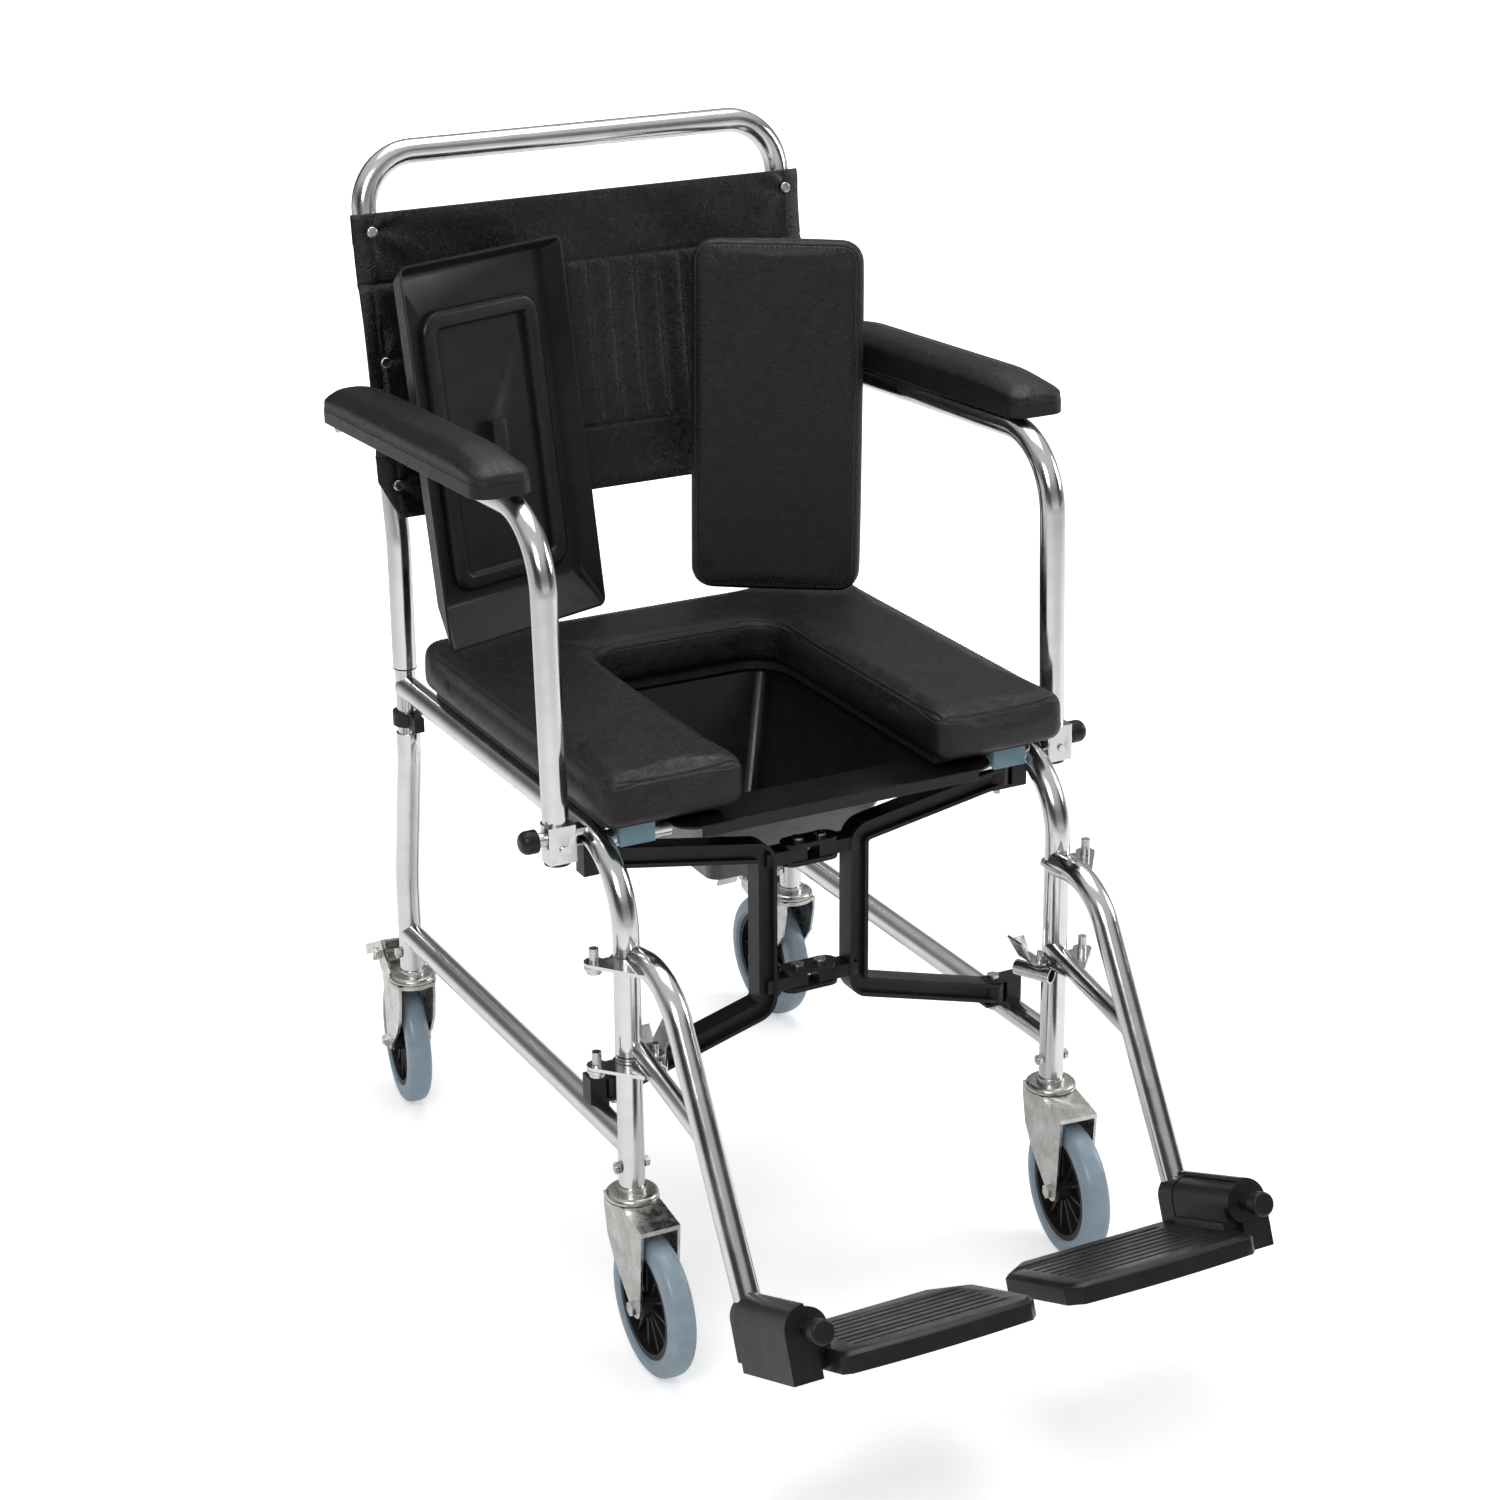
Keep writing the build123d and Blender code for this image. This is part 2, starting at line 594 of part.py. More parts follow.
def heel_block():
    """Casting round the hanger's end: rear body, outboard skirt and front cheek."""
    rear = along(0, 0, BARREL_R, -KNUCKLE_REAR + 0.4, HEEL_REAR)
    rear += block((-BARREL_R, -KNUCKLE_REAR + 0.4, -SKIRT_DOWN + 6), (BARREL_R, HEEL_REAR, 0))
    skirt = block((SKIRT_OUT - SKIRT_T, -CHEEK_FRONT, -SKIRT_DOWN), (SKIRT_OUT, SKIRT_REAR, 0))
    skirt -= along(0, 0, BARREL_R, -CHEEK_FRONT, SKIRT_REAR)
    hood = along(0, 0, SKIRT_OUT, -CHEEK_FRONT, SKIRT_REAR) - along(0, 0, BARREL_R, -CHEEK_FRONT, SKIRT_REAR)
    hood &= block((0, -CHEEK_FRONT, 0), (SKIRT_OUT, SKIRT_REAR, SKIRT_OUT))
    back = -CHEEK_FRONT + CHEEK_T
    cheek = along(0, 0, BARREL_R, -CHEEK_FRONT, back)
    cheek += block((-6, -CHEEK_FRONT, -SKIRT_DOWN), (SKIRT_OUT, back, 0))
    whole = rear + skirt + hood + cheek - along(0, 0, ROD_R, -200, 4)
    hang = bar([(HANG_X, *HANG_START), (HANG_X, *HANG_KNEE), (HANG_X, *HANG_END)], [HANG_BEND_R], TUBE_R)
    return foot_place(whole) - hang


def foot_rod():
    """Pivot rod of the footplate with its round knob."""
    rod = along(0, 0, ROD_R, -KNOB_FRONT + 4, -2)
    rod += along(0, 0, KNOB_STEM_R, -KNOB_FRONT + 10, -CHEEK_FRONT)
    knob = along(0, 0, KNOB_R, -KNOB_FRONT, -KNOB_FRONT + 13)
    knob = fillet(knob.edges().filter_by(GeomType.CIRCLE), 2.5)
    hang = bar([(HANG_X, *HANG_START), (HANG_X, *HANG_KNEE), (HANG_X, *HANG_END)], [HANG_BEND_R], TUBE_R)
    return foot_place(rod + knob) - hang


def footplate():
    """Ribbed tread plate with the knuckle that turns on the rod."""
    inner_front = (-PLATE_INNER + 10, -PLATE_FRONT)
    outer_front = (-PLATE_OUTER - 6, -PLATE_FRONT)
    middle_front = ((inner_front[0] + outer_front[0]) / 2, -PLATE_FRONT - PLATE_BOW)
    across_cut, along_cut = PLATE_CUT
    sides = Polyline(outer_front, (-PLATE_OUTER, -PLATE_FRONT + 6), (-PLATE_OUTER, -PLATE_REAR),
                     (-PLATE_INNER + across_cut, -PLATE_REAR), (-PLATE_INNER, -PLATE_REAR - along_cut),
                     (-PLATE_INNER, -PLATE_FRONT + 12), inner_front)
    edge = ThreePointArc(inner_front, middle_front, outer_front)
    plate = extrude(make_face(Curve() + [sides, edge]), amount=PLATE_T)
    plate = chamfer(plate.edges().group_by(Axis.Z)[-1], 3.5)
    pitch = (PLATE_FRONT - PLATE_REAR - 42) / (GROOVES - 1)
    for index in range(GROOVES):
        y = -PLATE_REAR - 20 - index * pitch
        plate -= block((-PLATE_INNER + 18, y - GROOVE_W / 2, PLATE_T - 2),
                       (-PLATE_OUTER - 22, y + GROOVE_W / 2, PLATE_T))
    plate = Pos(0, 0, PLATE_TOP - PLATE_T) * plate
    front = -CHEEK_FRONT + CHEEK_T + 0.4
    knuckle = along(0, 0, KNUCKLE_R, front, -KNUCKLE_REAR)
    web = block((-KNUCKLE_R, front, PLATE_TOP - PLATE_T + 2), (0, -PLATE_REAR - 10, 0))
    web += block((-PLATE_OUTER - 8, front, PLATE_TOP - PLATE_T + 2), (SKIRT_OUT - SKIRT_T - 1, -16, PLATE_TOP + 6))
    whole = plate + knuckle + web
    whole -= block((-BARREL_R - 1.3, -KNUCKLE_REAR, -60), (40, 20, 40))
    whole -= along(0, 0, ROD_R + RUN_FIT, -200, 20)
    return foot_place(whole)


# ---------- armrests ----------
def arm_place(piece):
    """Raises an armrest piece about the rear pivot."""
    return Pos(0, PIVOT_Y, ARM_PIVOT_Z) * Rot(X=-ARM_RISE) * piece


def arm_path():
    """Armrest tube: level run, front bend and drop."""
    return [(ARM_X, ARM_TAIL, 0), (ARM_X, -ARM_REACH, 0), (ARM_X, -ARM_REACH, -ARM_DROP)]


def arm_tube():
    """Bent armrest tube with cross holes for the pivot and the lock pin."""
    whole = tube(arm_path(), [ARM_BEND_R])
    whole -= across(0, 0, PIVOT_R + RUN_FIT, ARM_X - 30, ARM_X + 30)
    whole -= across(-ARM_REACH, -ARM_DROP + ARM_PIN_UP, ARM_PIN_R + RUN_FIT, ARM_X - 30, ARM_X + 30)
    return arm_place(whole)


def pad_outline(inset):
    """Plan of the arm pad: a long shape with well rounded ends."""
    shape = Rectangle(2 * (PAD_HALF - inset), PAD_FRONT - PAD_REAR - 2 * inset)
    shape = fillet(shape.vertices(), PAD_CORNER_R - inset)
    return Pos(PAD_MID_X, -(PAD_FRONT + PAD_REAR) / 2) * shape


def arm_trim():
    """Hard pad base on top of the tube and the plug in the tube's foot."""
    base = Pos(0, 0, TUBE_R) * extrude(pad_outline(0), amount=PAD_BASE_T)
    plug = upright(ARM_X, -ARM_REACH, TUBE_R, -ARM_DROP - 3, -ARM_DROP)
    plug += upright(ARM_X, -ARM_REACH, BORE_R - 0.1, -ARM_DROP, -ARM_DROP + 10)
    return arm_place(Compound(children=[base, plug]))


def arm_pad():
    """Padded top of the armrest."""
    pad = extrude(pad_outline(1), amount=PAD_T)
    pad = fillet(pad.edges().group_by(Axis.Z)[-1], 14)
    return arm_place(Pos(0, 0, TUBE_R + PAD_BASE_T) * pad)


def arm_catch():
    """Flat-fronted sheet bracket round the foot of the armrest tube."""
    low = -ARM_DROP + 1
    inner, outer = ARM_X - TUBE_R - CATCH_T, ARM_X + TUBE_R + CATCH_T
    box = block((inner, -ARM_REACH - TUBE_R - CATCH_T - 2, low), (outer, -ARM_REACH, low + CATCH_TALL))
    box = fillet(box.edges().filter_by(Axis.Z), 2.0)
    box += upright(ARM_X, -ARM_REACH, TUBE_R + CATCH_T, low, low + CATCH_TALL)
    box += across(-ARM_REACH, -ARM_DROP + ARM_PIN_UP, 6, ARM_X, outer + 5)
    box += along(ARM_X, low + 12, 3.4, -ARM_REACH - TUBE_R - CATCH_T - 4.4, -ARM_REACH - TUBE_R - CATCH_T)
    box -= upright(ARM_X, -ARM_REACH, TUBE_R, low - 1, low + CATCH_TALL + 1)
    box -= across(-ARM_REACH, -ARM_DROP + ARM_PIN_UP, ARM_PIN_R + RUN_FIT, inner - 5, outer + 10)
    return arm_place(box)


def arm_knob():
    """Spring plunger pin with its pull knob."""
    y, z = -ARM_REACH, -ARM_DROP + ARM_PIN_UP
    out = ARM_X + TUBE_R + CATCH_T + 5.4
    pin = across(y, z, ARM_PIN_R, HALF_TRACK + TUBE_R + ARM_PIN_SHORT, out + 4)
    knob = across(y, z, ARM_KNOB_R, out, out + 15)
    knob = fillet(knob.edges().group_by(Axis.X)[-1], 7)
    return arm_place(pin + knob)


def arm_pivots():
    """Spacer collar and shoulder bolt at the back of each armrest."""
    y, z = PIVOT_Y, ARM_PIVOT_Z
    post = lean(upright(HALF_TRACK, 0, TUBE_R, -20, 250))
    bolt = across(y, z, 9, HALF_TRACK, ARM_X - TUBE_R - 0.3) - post
    bolt += across(y, z, PIVOT_R, HALF_TRACK + TUBE_R, ARM_X + TUBE_R + 4)
    bolt += across(y, z, 7.5, ARM_X + TUBE_R + 0.3, ARM_X + TUBE_R + 4.5)
    return with_mirror(bolt)


# ---------- folding brace ----------
def brace_strip(width, near, far):
    """A strip of this width along the left brace half, between two depths."""
    path = FilletPolyline((BRACE_OUT_X, BRACE_TOP[0]), (BRACE_IN_X, BRACE_TOP[1]), (BRACE_IN_X, BRACE_LOW[1]),
                          (BRACE_OUT_X, BRACE_LOW[0]), radius=BRACE_CORNER_R)
    outline = Plane.XZ * trace(path, line_width=width)
    return Pos(0, far, 0) * extrude(outline, amount=far - near)


def brace_arm():
    """Left half of the folding brace: a three-sided channel frame with two hinge lugs."""
    near, far = BRACE_Y - BRACE_DEEP / 2, BRACE_Y + BRACE_DEEP / 2
    arm = brace_strip(BRACE_TALL, near, far)
    arm -= brace_strip(BRACE_TALL - 2 * BRACE_LIP, near - 1, near + BRACE_HOLLOW)
    for z in LINK_HEIGHTS:
        arm += block((6, BRACE_Y - 9, z - LUG_HALF), (BRACE_IN_X, BRACE_Y + 9, z + LUG_HALF))
        arm -= upright(LINK_SCREW_X, BRACE_Y, BOLT_R + RUN_FIT, z - 20, z + 20)
    for z in (BRACE_TOP[0], BRACE_LOW[0]):
        arm += upright(BRACE_OUT_X, BRACE_Y, BRACE_DEEP / 2, z - BRACE_TALL / 2, z + BRACE_TALL / 2)
        arm -= upright(BRACE_OUT_X, BRACE_Y, BOLT_R + RUN_FIT, z - 30, z + 30)
    return arm


def clamp_span(z):
    """Lowest and highest of a clamp round an arm's end at this height."""
    half = BRACE_TALL / 2 + FORK_ROOM
    return z - half - CLAMP_DOWN, z + half + CLAMP_UP


def brace_clamps():
    """Forked clamps of the left brace half, hugging the seat rail and the lower rail."""
    pieces = []
    near, far = BRACE_Y - CLAMP_DEEP / 2, BRACE_Y + CLAMP_DEEP / 2
    half = BRACE_TALL / 2 + FORK_ROOM
    for z, rail_z in ((BRACE_TOP[0], SEAT_RAIL_Z), (BRACE_LOW[0], LOWER_RAIL_Z)):
        low, high = clamp_span(z)
        piece = block((BRACE_OUT_X - 11, near, low), (HALF_TRACK + 7, far, high))
        piece += block((BRACE_OUT_X + 8, near, min(z, rail_z)), (HALF_TRACK + 7, far, max(z, rail_z)))
        piece -= block((0, near, z - half), (BRACE_OUT_X + BRACE_DEEP / 2 + FORK_ROOM, far, z + half))
        piece -= brace_strip(2 * half, near - 1, far + 1)
        piece -= upright(BRACE_OUT_X, BRACE_Y, BOLT_R, low, high)
        piece -= bar(front_tube_path(), [FRONT_BEND_R], TUBE_R)
        piece -= along(HALF_TRACK, LOWER_RAIL_Z, TUBE_R, -WHEELBASE, 0)
        pieces.append(piece.solids().sort_by(SortBy.VOLUME)[-1])
    return Compound(children=pieces)


def brace_fittings():
    """Link plates above and below each pair of lugs, and the four rail clamps."""
    links = []
    for z in LINK_HEIGHTS:
        for low in (z + LUG_HALF + 0.2, z - LUG_HALF - 0.2 - LINK_T):
            link = Pos(0, BRACE_Y, low) * extrude(SlotOverall(2 * LINK_HALF, 21), amount=LINK_T)
            for side in (-1, 1):
                link -= upright(side * LINK_SCREW_X, BRACE_Y, BOLT_R, low, low + LINK_T)
            links.append(link)
    return Compound(children=links + list(with_mirror(brace_clamps()).solids()))


def brace_bolts():
    """Screws of the middle links and bolts of the rail clamps."""
    group = []
    for z in LINK_HEIGHTS:
        top = z + LUG_HALF + 0.2 + LINK_T
        bolt = upright(LINK_SCREW_X, BRACE_Y, BOLT_R, z - LUG_HALF - 0.2 - LINK_T - 4, top)
        group.append(bolt + upright(LINK_SCREW_X, BRACE_Y, 5.5, top, top + 3))
    for z in (BRACE_TOP[0], BRACE_LOW[0]):
        low, high = clamp_span(z)
        bolt = upright(BRACE_OUT_X, BRACE_Y, BOLT_R, low - 6, high)
        bolt += Pos(BRACE_OUT_X, BRACE_Y, high) * extrude(RegularPolygon(6, 6), amount=4)
        group.append(bolt)
    return with_mirror(Compound(children=group))


# ---------- seat ----------
def seat_plan(inset, front):
    """Plan of the seat: a square with rounded corners and a slot open to the front."""
    wide = 2 * (SEAT_HALF - inset)
    rear = SEAT_REAR_Y - inset
    plan = Rectangle(wide, rear - front)
    plan = fillet(plan.vertices(), SEAT_CORNER_R - inset)
    plan = Pos(0, (front + rear) / 2) * plan
    half = SLOT_HALF + inset
    slot_rear = SLOT_REAR_Y + inset
    slot_front = front - 60
    slot = Rectangle(2 * half, slot_rear - slot_front)
    slot = fillet(slot.vertices().group_by(Axis.Y)[-1], SLOT_CORNER_R + inset)
    return plan - Pos(0, (slot_rear + slot_front) / 2) * slot


def seat_board():
    """Board under the cushion, lying on the seat rails."""
    plan = seat_plan(BOARD_INSET, SEAT_FRONT_Y + BOARD_INSET + BOARD_BACK)
    return Pos(0, 0, BOARD_Z) * extrude(plan, amount=BOARD_T)


def seat_cushion():
    """Upholstered U-shaped cushion."""
    low = BOARD_Z + BOARD_T
    cushion = Pos(0, 0, low) * extrude(seat_plan(0, SEAT_FRONT_Y), amount=SEAT_TOP_Z - low)
    cushion = fillet(cushion.edges().group_by(Axis.Z)[-1], 7)
    return fillet(cushion.edges().group_by(Axis.Z)[0], 6)


def seat_clips():
    """Snap clips under the board, open downwards over the stubs."""
    group = []
    half = STUB_R + BOARD_GAP
    for y in (STUB_FRONT_Y, STUB_REAR_Y):
        low = STUB_Z - CLIP_DOWN
        clip = block((CLIP_INNER_X, y - half - CLIP_T, low), (CLIP_OUTER_X, y + half + CLIP_T, BOARD_Z))
        clip -= block((CLIP_INNER_X, y - half, low), (CLIP_OUTER_X, y + half, STUB_Z))
        clip -= across(y, STUB_Z, half, CLIP_INNER_X, CLIP_OUTER_X)
        clip -= bar(front_tube_path(), [FRONT_BEND_R], TUBE_R + 1)
        group.append(clip.solids().sort_by(SortBy.VOLUME)[-1])
    return with_mirror(Compound(children=group))


def tapered(top_plan, bottom_plan, top_z, bottom_z):
    """A block that tapers from one plan (half width, front, rear) to another."""
    faces = []
    for (half, front, rear), z in ((top_plan, top_z), (bottom_plan, bottom_z)):
        plan = fillet(Rectangle(2 * half, rear - front).vertices(), 12)
        faces.append(Pos(0, (front + rear) / 2, z) * plan)
    return loft(faces)


def pan_space(shrink, top_z):
    """The pan's deep tub, less a wall: steep at the rear and sides, sloping at the front."""
    s = shrink
    front, rear = PAN_TUB_FRONT_Y + s, PAN_TUB_REAR_Y - s
    return tapered((PAN_TUB_HALF - s, front, rear),
                   (PAN_TUB_HALF - PAN_DRAFT - s, front + PAN_FRONT_DRAFT, rear - PAN_DRAFT),
                   top_z, top_z - PAN_DEEP + s)


def pan():
    """Lift-out pan hanging by its rim on the stubs."""
    low = STUB_Z + STUB_R + BOARD_GAP
    rim = block((-PAN_RIM_HALF, PAN_RIM_FRONT_Y, low), (PAN_RIM_HALF, PAN_RIM_REAR_Y, low + PAN_T))
    rim = fillet(rim.edges().filter_by(Axis.Z), PAN_CORNER_R)
    half = PAN_RIM_HALF - PAN_CORNER_R
    rim += block((-half, PAN_RIM_FRONT_Y, low - PAN_EDGE_DEEP), (half, PAN_RIM_FRONT_Y + PAN_T, low))
    return rim + pan_space(0, low + PAN_T) - pan_space(PAN_T, low + PAN_T + 0.01)


def stand(piece, place, yaw, back_lean, thick):
    """Stands a flat piece on the seat, turned and leaning back."""
    lift = SEAT_TOP_Z + BOARD_GAP + thick * sin(radians(back_lean))
    return Pos(*place, lift) * Rot(Z=yaw) * Rot(X=-back_lean) * piece


def lid_plate(side, end, front, back, radius):
    """A rounded rectangle of the lid, set in from its sides and ends, between two depths."""
    plan = fillet(Rectangle(LID_WIDE - 2 * side, LID_TALL - 2 * end).vertices(), radius)
    plan = Plane.XZ * (Pos(0, LID_TALL / 2) * plan)
    return Pos(0, back, 0) * extrude(plan, amount=back - front)


def lid_tray(wall, depth):
    """A block that narrows from the lid's open face to its back, drawn in by wall all round."""
    plans = []
    for side, foot, y in ((0, 0, 0), (LID_DRAFT, LID_RAMP, depth)):
        low, high = foot + wall, LID_TALL - side - wall
        plan = fillet(Rectangle(LID_WIDE - 2 * (side + wall), high - low).vertices(), LID_CORNER_R - wall)
        plans.append(Pos(0, y, 0) * (Plane.XZ * (Pos(0, (low + high) / 2) * plan)))
    return loft(plans)


def pan_lid():
    """Moulded lid: a plain tray with a raised bead round its middle and a tab to lift it by."""
    back = LID_T - LID_WALL
    lid = lid_tray(0, LID_T) - lid_tray(LID_WALL, back)
    side, end = BEAD_INSET
    bead = lid_plate(side, end, back - BEAD_UP, back, BEAD_R)
    bead -= lid_plate(side + BEAD_W, end + BEAD_W, back - BEAD_UP, back, BEAD_R - BEAD_W)
    bead = fillet(bead.edges().group_by(Axis.Y)[0], BEAD_UP - 2)
    lid += bead
    lid += block((-TAB_HALF, back - TAB_UP, LID_TALL * 0.42), (TAB_HALF, back, LID_TALL * 0.56))
    return stand(lid, LID_AT, LID_YAW, LID_LEAN, 0)


def insert_cushion():
    """Loose padded cushion that fills the slot of the seat when it is in place."""
    plan = fillet(Rectangle(INSERT_WIDE, INSERT_TALL).vertices(), 22)
    pad = extrude(Plane.XZ * (Pos(0, INSERT_TALL / 2) * plan), amount=INSERT_T)
    pad = Pos(0, INSERT_T, 0) * fillet(pad.edges().group_by(Axis.Y)[0], 5)
    return stand(pad, INSERT_AT, INSERT_YAW, INSERT_LEAN, INSERT_T)


def build():
    """Makes every node in the build frame."""
    keep_pair("front_tube", front_tube())
    keep_pair("rear_post", rear_post())
    keep_pair("lower_rail", lower_rail())
    nodes["seat_stubs"] = seat_stubs()
    nodes["back_bow"] = back_bow()
    nodes["bow_clips"] = bow_clips()
    nodes["back_sling"] = back_sling()
    nodes["sling_screws"] = sling_screws()
    nodes["caster_races"] = caster_races()
    nodes["leg_bolts"] = leg_bolts()
    casters()
    nodes["hanger_ears"] = hanger_ears()
    keep_pair("hanger", hanger())
    keep_pair("latch_lever", latch_lever())
    keep_pair("heel_block", heel_block())
    keep_pair("foot_rod", foot_rod())
    keep_pair("footplate", footplate())
    keep_pair("arm_tube", arm_tube())
    keep_pair("arm_trim", arm_trim())
    keep_pair("arm_pad", arm_pad())
    keep_pair("arm_catch", arm_catch())
    keep_pair("arm_knob", arm_knob())
    nodes["arm_pivots"] = arm_pivots()
    keep_pair("brace_arm", brace_arm())
    nodes["brace_fittings"] = brace_fittings()
    nodes["brace_bolts"] = brace_bolts()
    nodes["seat_board"] = seat_board()
    nodes["seat_cushion"] = seat_cushion()
    nodes["seat_clips"] = seat_clips()
    nodes["pan"] = pan()
    nodes["pan_lid"] = pan_lid()
    nodes["insert_cushion"] = insert_cushion()


build()
boxes = [piece.bounding_box() for piece in nodes.values()]
MIDDLE_Y = (min(box.min.Y for box in boxes) + max(box.max.Y for box in boxes)) / 2
for name, piece in nodes.items():
    export_step(Pos(0, -MIDDLE_Y, 0) * piece, f"parts/{name}.step")
print("nodes", len(nodes), "centred by", round(-MIDDLE_Y, 3))
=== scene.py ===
import json
from math import pi, radians, sin
import bmesh
import bpy
import numpy as np
from mathutils import Matrix, Quaternion, Vector
from mathutils.bvhtree import BVHTree


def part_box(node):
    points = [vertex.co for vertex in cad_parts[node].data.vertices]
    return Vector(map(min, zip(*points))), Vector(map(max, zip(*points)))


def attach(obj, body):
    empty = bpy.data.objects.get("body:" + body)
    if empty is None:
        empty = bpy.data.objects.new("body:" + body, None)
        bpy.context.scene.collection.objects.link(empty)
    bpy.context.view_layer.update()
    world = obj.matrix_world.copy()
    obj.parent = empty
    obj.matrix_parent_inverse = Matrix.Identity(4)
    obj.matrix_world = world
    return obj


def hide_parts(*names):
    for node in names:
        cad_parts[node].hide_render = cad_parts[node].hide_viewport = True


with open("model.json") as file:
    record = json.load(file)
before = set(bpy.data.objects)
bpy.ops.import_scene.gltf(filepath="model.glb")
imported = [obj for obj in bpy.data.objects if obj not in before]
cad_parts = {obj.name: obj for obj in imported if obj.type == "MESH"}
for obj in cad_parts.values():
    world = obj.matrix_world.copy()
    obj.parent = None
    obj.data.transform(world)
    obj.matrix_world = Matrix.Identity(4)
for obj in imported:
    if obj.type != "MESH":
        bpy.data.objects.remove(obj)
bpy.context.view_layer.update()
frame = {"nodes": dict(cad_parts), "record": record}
nodes = frame["nodes"]
record = frame["record"]
body_of_node = {node: body for body, group in record["behaviour"]["bodies"].items() for node in group}
joint = {entry["name"]: entry for entry in record["behaviour"]["joints"]}

# ---- places on the frame, in metres ----
SIDES = {"L": 1, "R": -1}
CORNERS = ("FL", "FR", "RL", "RR")
TUBE_R = 0.0111
HALF_TRACK = (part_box("lower_rail_L")[0][0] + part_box("lower_rail_L")[1][0]) / 2
REAR_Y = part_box("caster_races")[1][1] - 0.023
POST_Y = REAR_Y - 0.022
BOW_BEND_Z = 0.592
BACK_LEAN = radians(8.596)
PIVOT = Vector(joint["armrest_L"]["pos_m"])
ARM_RISE = radians(2.5)
ARM_X = 0.2525
LEG_Y = REAR_Y - 0.489
REAR_JOINT_Z, LEG_JOINT_Z = 0.472, 0.2785


# ---- making meshes ----
def skin(rows, cols, close_rows=False, close_cols=False):
    """Quads between the neighbours of a rows by cols grid, joined end to start where it closes."""
    r = np.arange(rows if close_rows else rows - 1)
    c = np.arange(cols if close_cols else cols - 1)
    r, c = np.meshgrid(r, c, indexing="ij")
    up, along = (r + 1) % rows, (c + 1) % cols
    return np.stack([r * cols + c, r * cols + along, up * cols + along, up * cols + c], -1).reshape(-1, 4)


def raw_mesh(name, points, faces):
    """A mesh from arrays of points and faces, or a list of faces of any length."""
    mesh = bpy.data.meshes.new(name)
    places = np.asarray(points, float).reshape(-1, 3).tolist()
    mesh.from_pydata(places, [], [list(map(int, face)) for face in faces])
    return mesh


def tidy_shell(mesh, merge=1e-5):
    """Joins coinciding points and turns every face outwards."""
    bm = bmesh.new()
    bm.from_mesh(mesh)
    bmesh.ops.remove_doubles(bm, verts=bm.verts, dist=merge)
    bmesh.ops.dissolve_degenerate(bm, edges=bm.edges, dist=merge)
    bmesh.ops.recalc_face_normals(bm, faces=bm.faces)
    bm.to_mesh(mesh)
    bm.free()


def put(name, mesh, finish, body, replaced=()):
    """Puts a mesh in the scene with its finish, riding on a body and standing for CAD nodes."""
    part = bpy.data.objects.new(name, mesh)
    bpy.context.scene.collection.objects.link(part)
    mesh.materials.clear()
    mesh.materials.append(finish)
    mesh.polygons.foreach_set("use_smooth", [True] * len(mesh.polygons))
    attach(part, body)
    if replaced:
        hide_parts(*replaced)
    return part


def points_of(mesh):
    """All points of a mesh as an array."""
    flat = np.empty(len(mesh.vertices) * 3)
    mesh.vertices.foreach_get("co", flat)
    return flat.reshape(-1, 3)


def set_points(mesh, points):
    """Moves all points of a mesh to the places in an array."""
    mesh.vertices.foreach_set("co", np.asarray(points, float).ravel())
    mesh.update()


def keep_number(mesh, name, values):
    """Stores one number for each point, for the finish to read."""
    mesh.attributes.new(name, "FLOAT", "POINT").data.foreach_set("value", np.asarray(values, float))


def smoothstep(low, high, x):
    """0 below low, 1 above high, and 3t^2 - 2t^3 between."""
    t = np.clip((x - low) / (high - low), 0, 1)
    return t * t * (3 - 2 * t)


def dell(x, width):
    """A bell curve, exp(-(x / width) squared)."""
    return np.exp(-(x / width) ** 2)


def round_corners(corners, radii, steps=10):
    """A closed line through the corners, each replaced by an arc of its radius."""
    corners = np.asarray(corners, float)
    line = []
    for i, radius in enumerate(radii):
        here = corners[i]
        back, ahead = corners[i - 1] - here, corners[(i + 1) % len(corners)] - here
        back, ahead = back / np.linalg.norm(back), ahead / np.linalg.norm(ahead)
        half = np.arccos(np.clip(back @ ahead, -1, 1)) / 2
        reach = radius / np.tan(half)
        middle = here + (back + ahead) / np.linalg.norm(back + ahead) * radius / np.sin(half)
        start, end = here + back * reach - middle, here + ahead * reach - middle
        t = np.linspace(0, 1, steps)[:, None]
        arc = start * (1 - t) + end * t
        line.append(middle + arc / np.linalg.norm(arc, axis=1)[:, None] * radius)
    return np.concatenate(line)


def even(line, count, closed=True):
    """Points evenly spaced along a line, by interpolating over its running length."""
    line = np.asarray(line, float)
    if closed:
        line = np.vstack([line, line[:1]])
    run = np.concatenate([[0], np.cumsum(np.linalg.norm(np.diff(line, axis=0), axis=1))])
    keep = np.concatenate([[True], np.diff(run) > 1e-9])
    where = np.linspace(0, run[-1], count, endpoint=not closed)
    return np.stack([np.interp(where, run[keep], line[keep, k]) for k in range(line.shape[1])], 1)


def length_of(line, closed=True):
    """Running length of a line: the sum of the distances between its points."""
    line = np.vstack([line, line[:1]]) if closed else np.asarray(line)
    return np.linalg.norm(np.diff(line, axis=0), axis=1).sum()


# ---- finishes ----
def node(tree, kind, inputs=None, **settings):
    """A shader node with its settings and inputs; an input is a value or another node's output."""
    made = tree.nodes.new(kind)
    for key, value in settings.items():
        setattr(made, key, value)
    for key, value in (inputs or {}).items():
        if isinstance(value, bpy.types.NodeSocket):
            tree.links.new(value, made.inputs[key])
        else:
            made.inputs[key].default_value = value
    return made


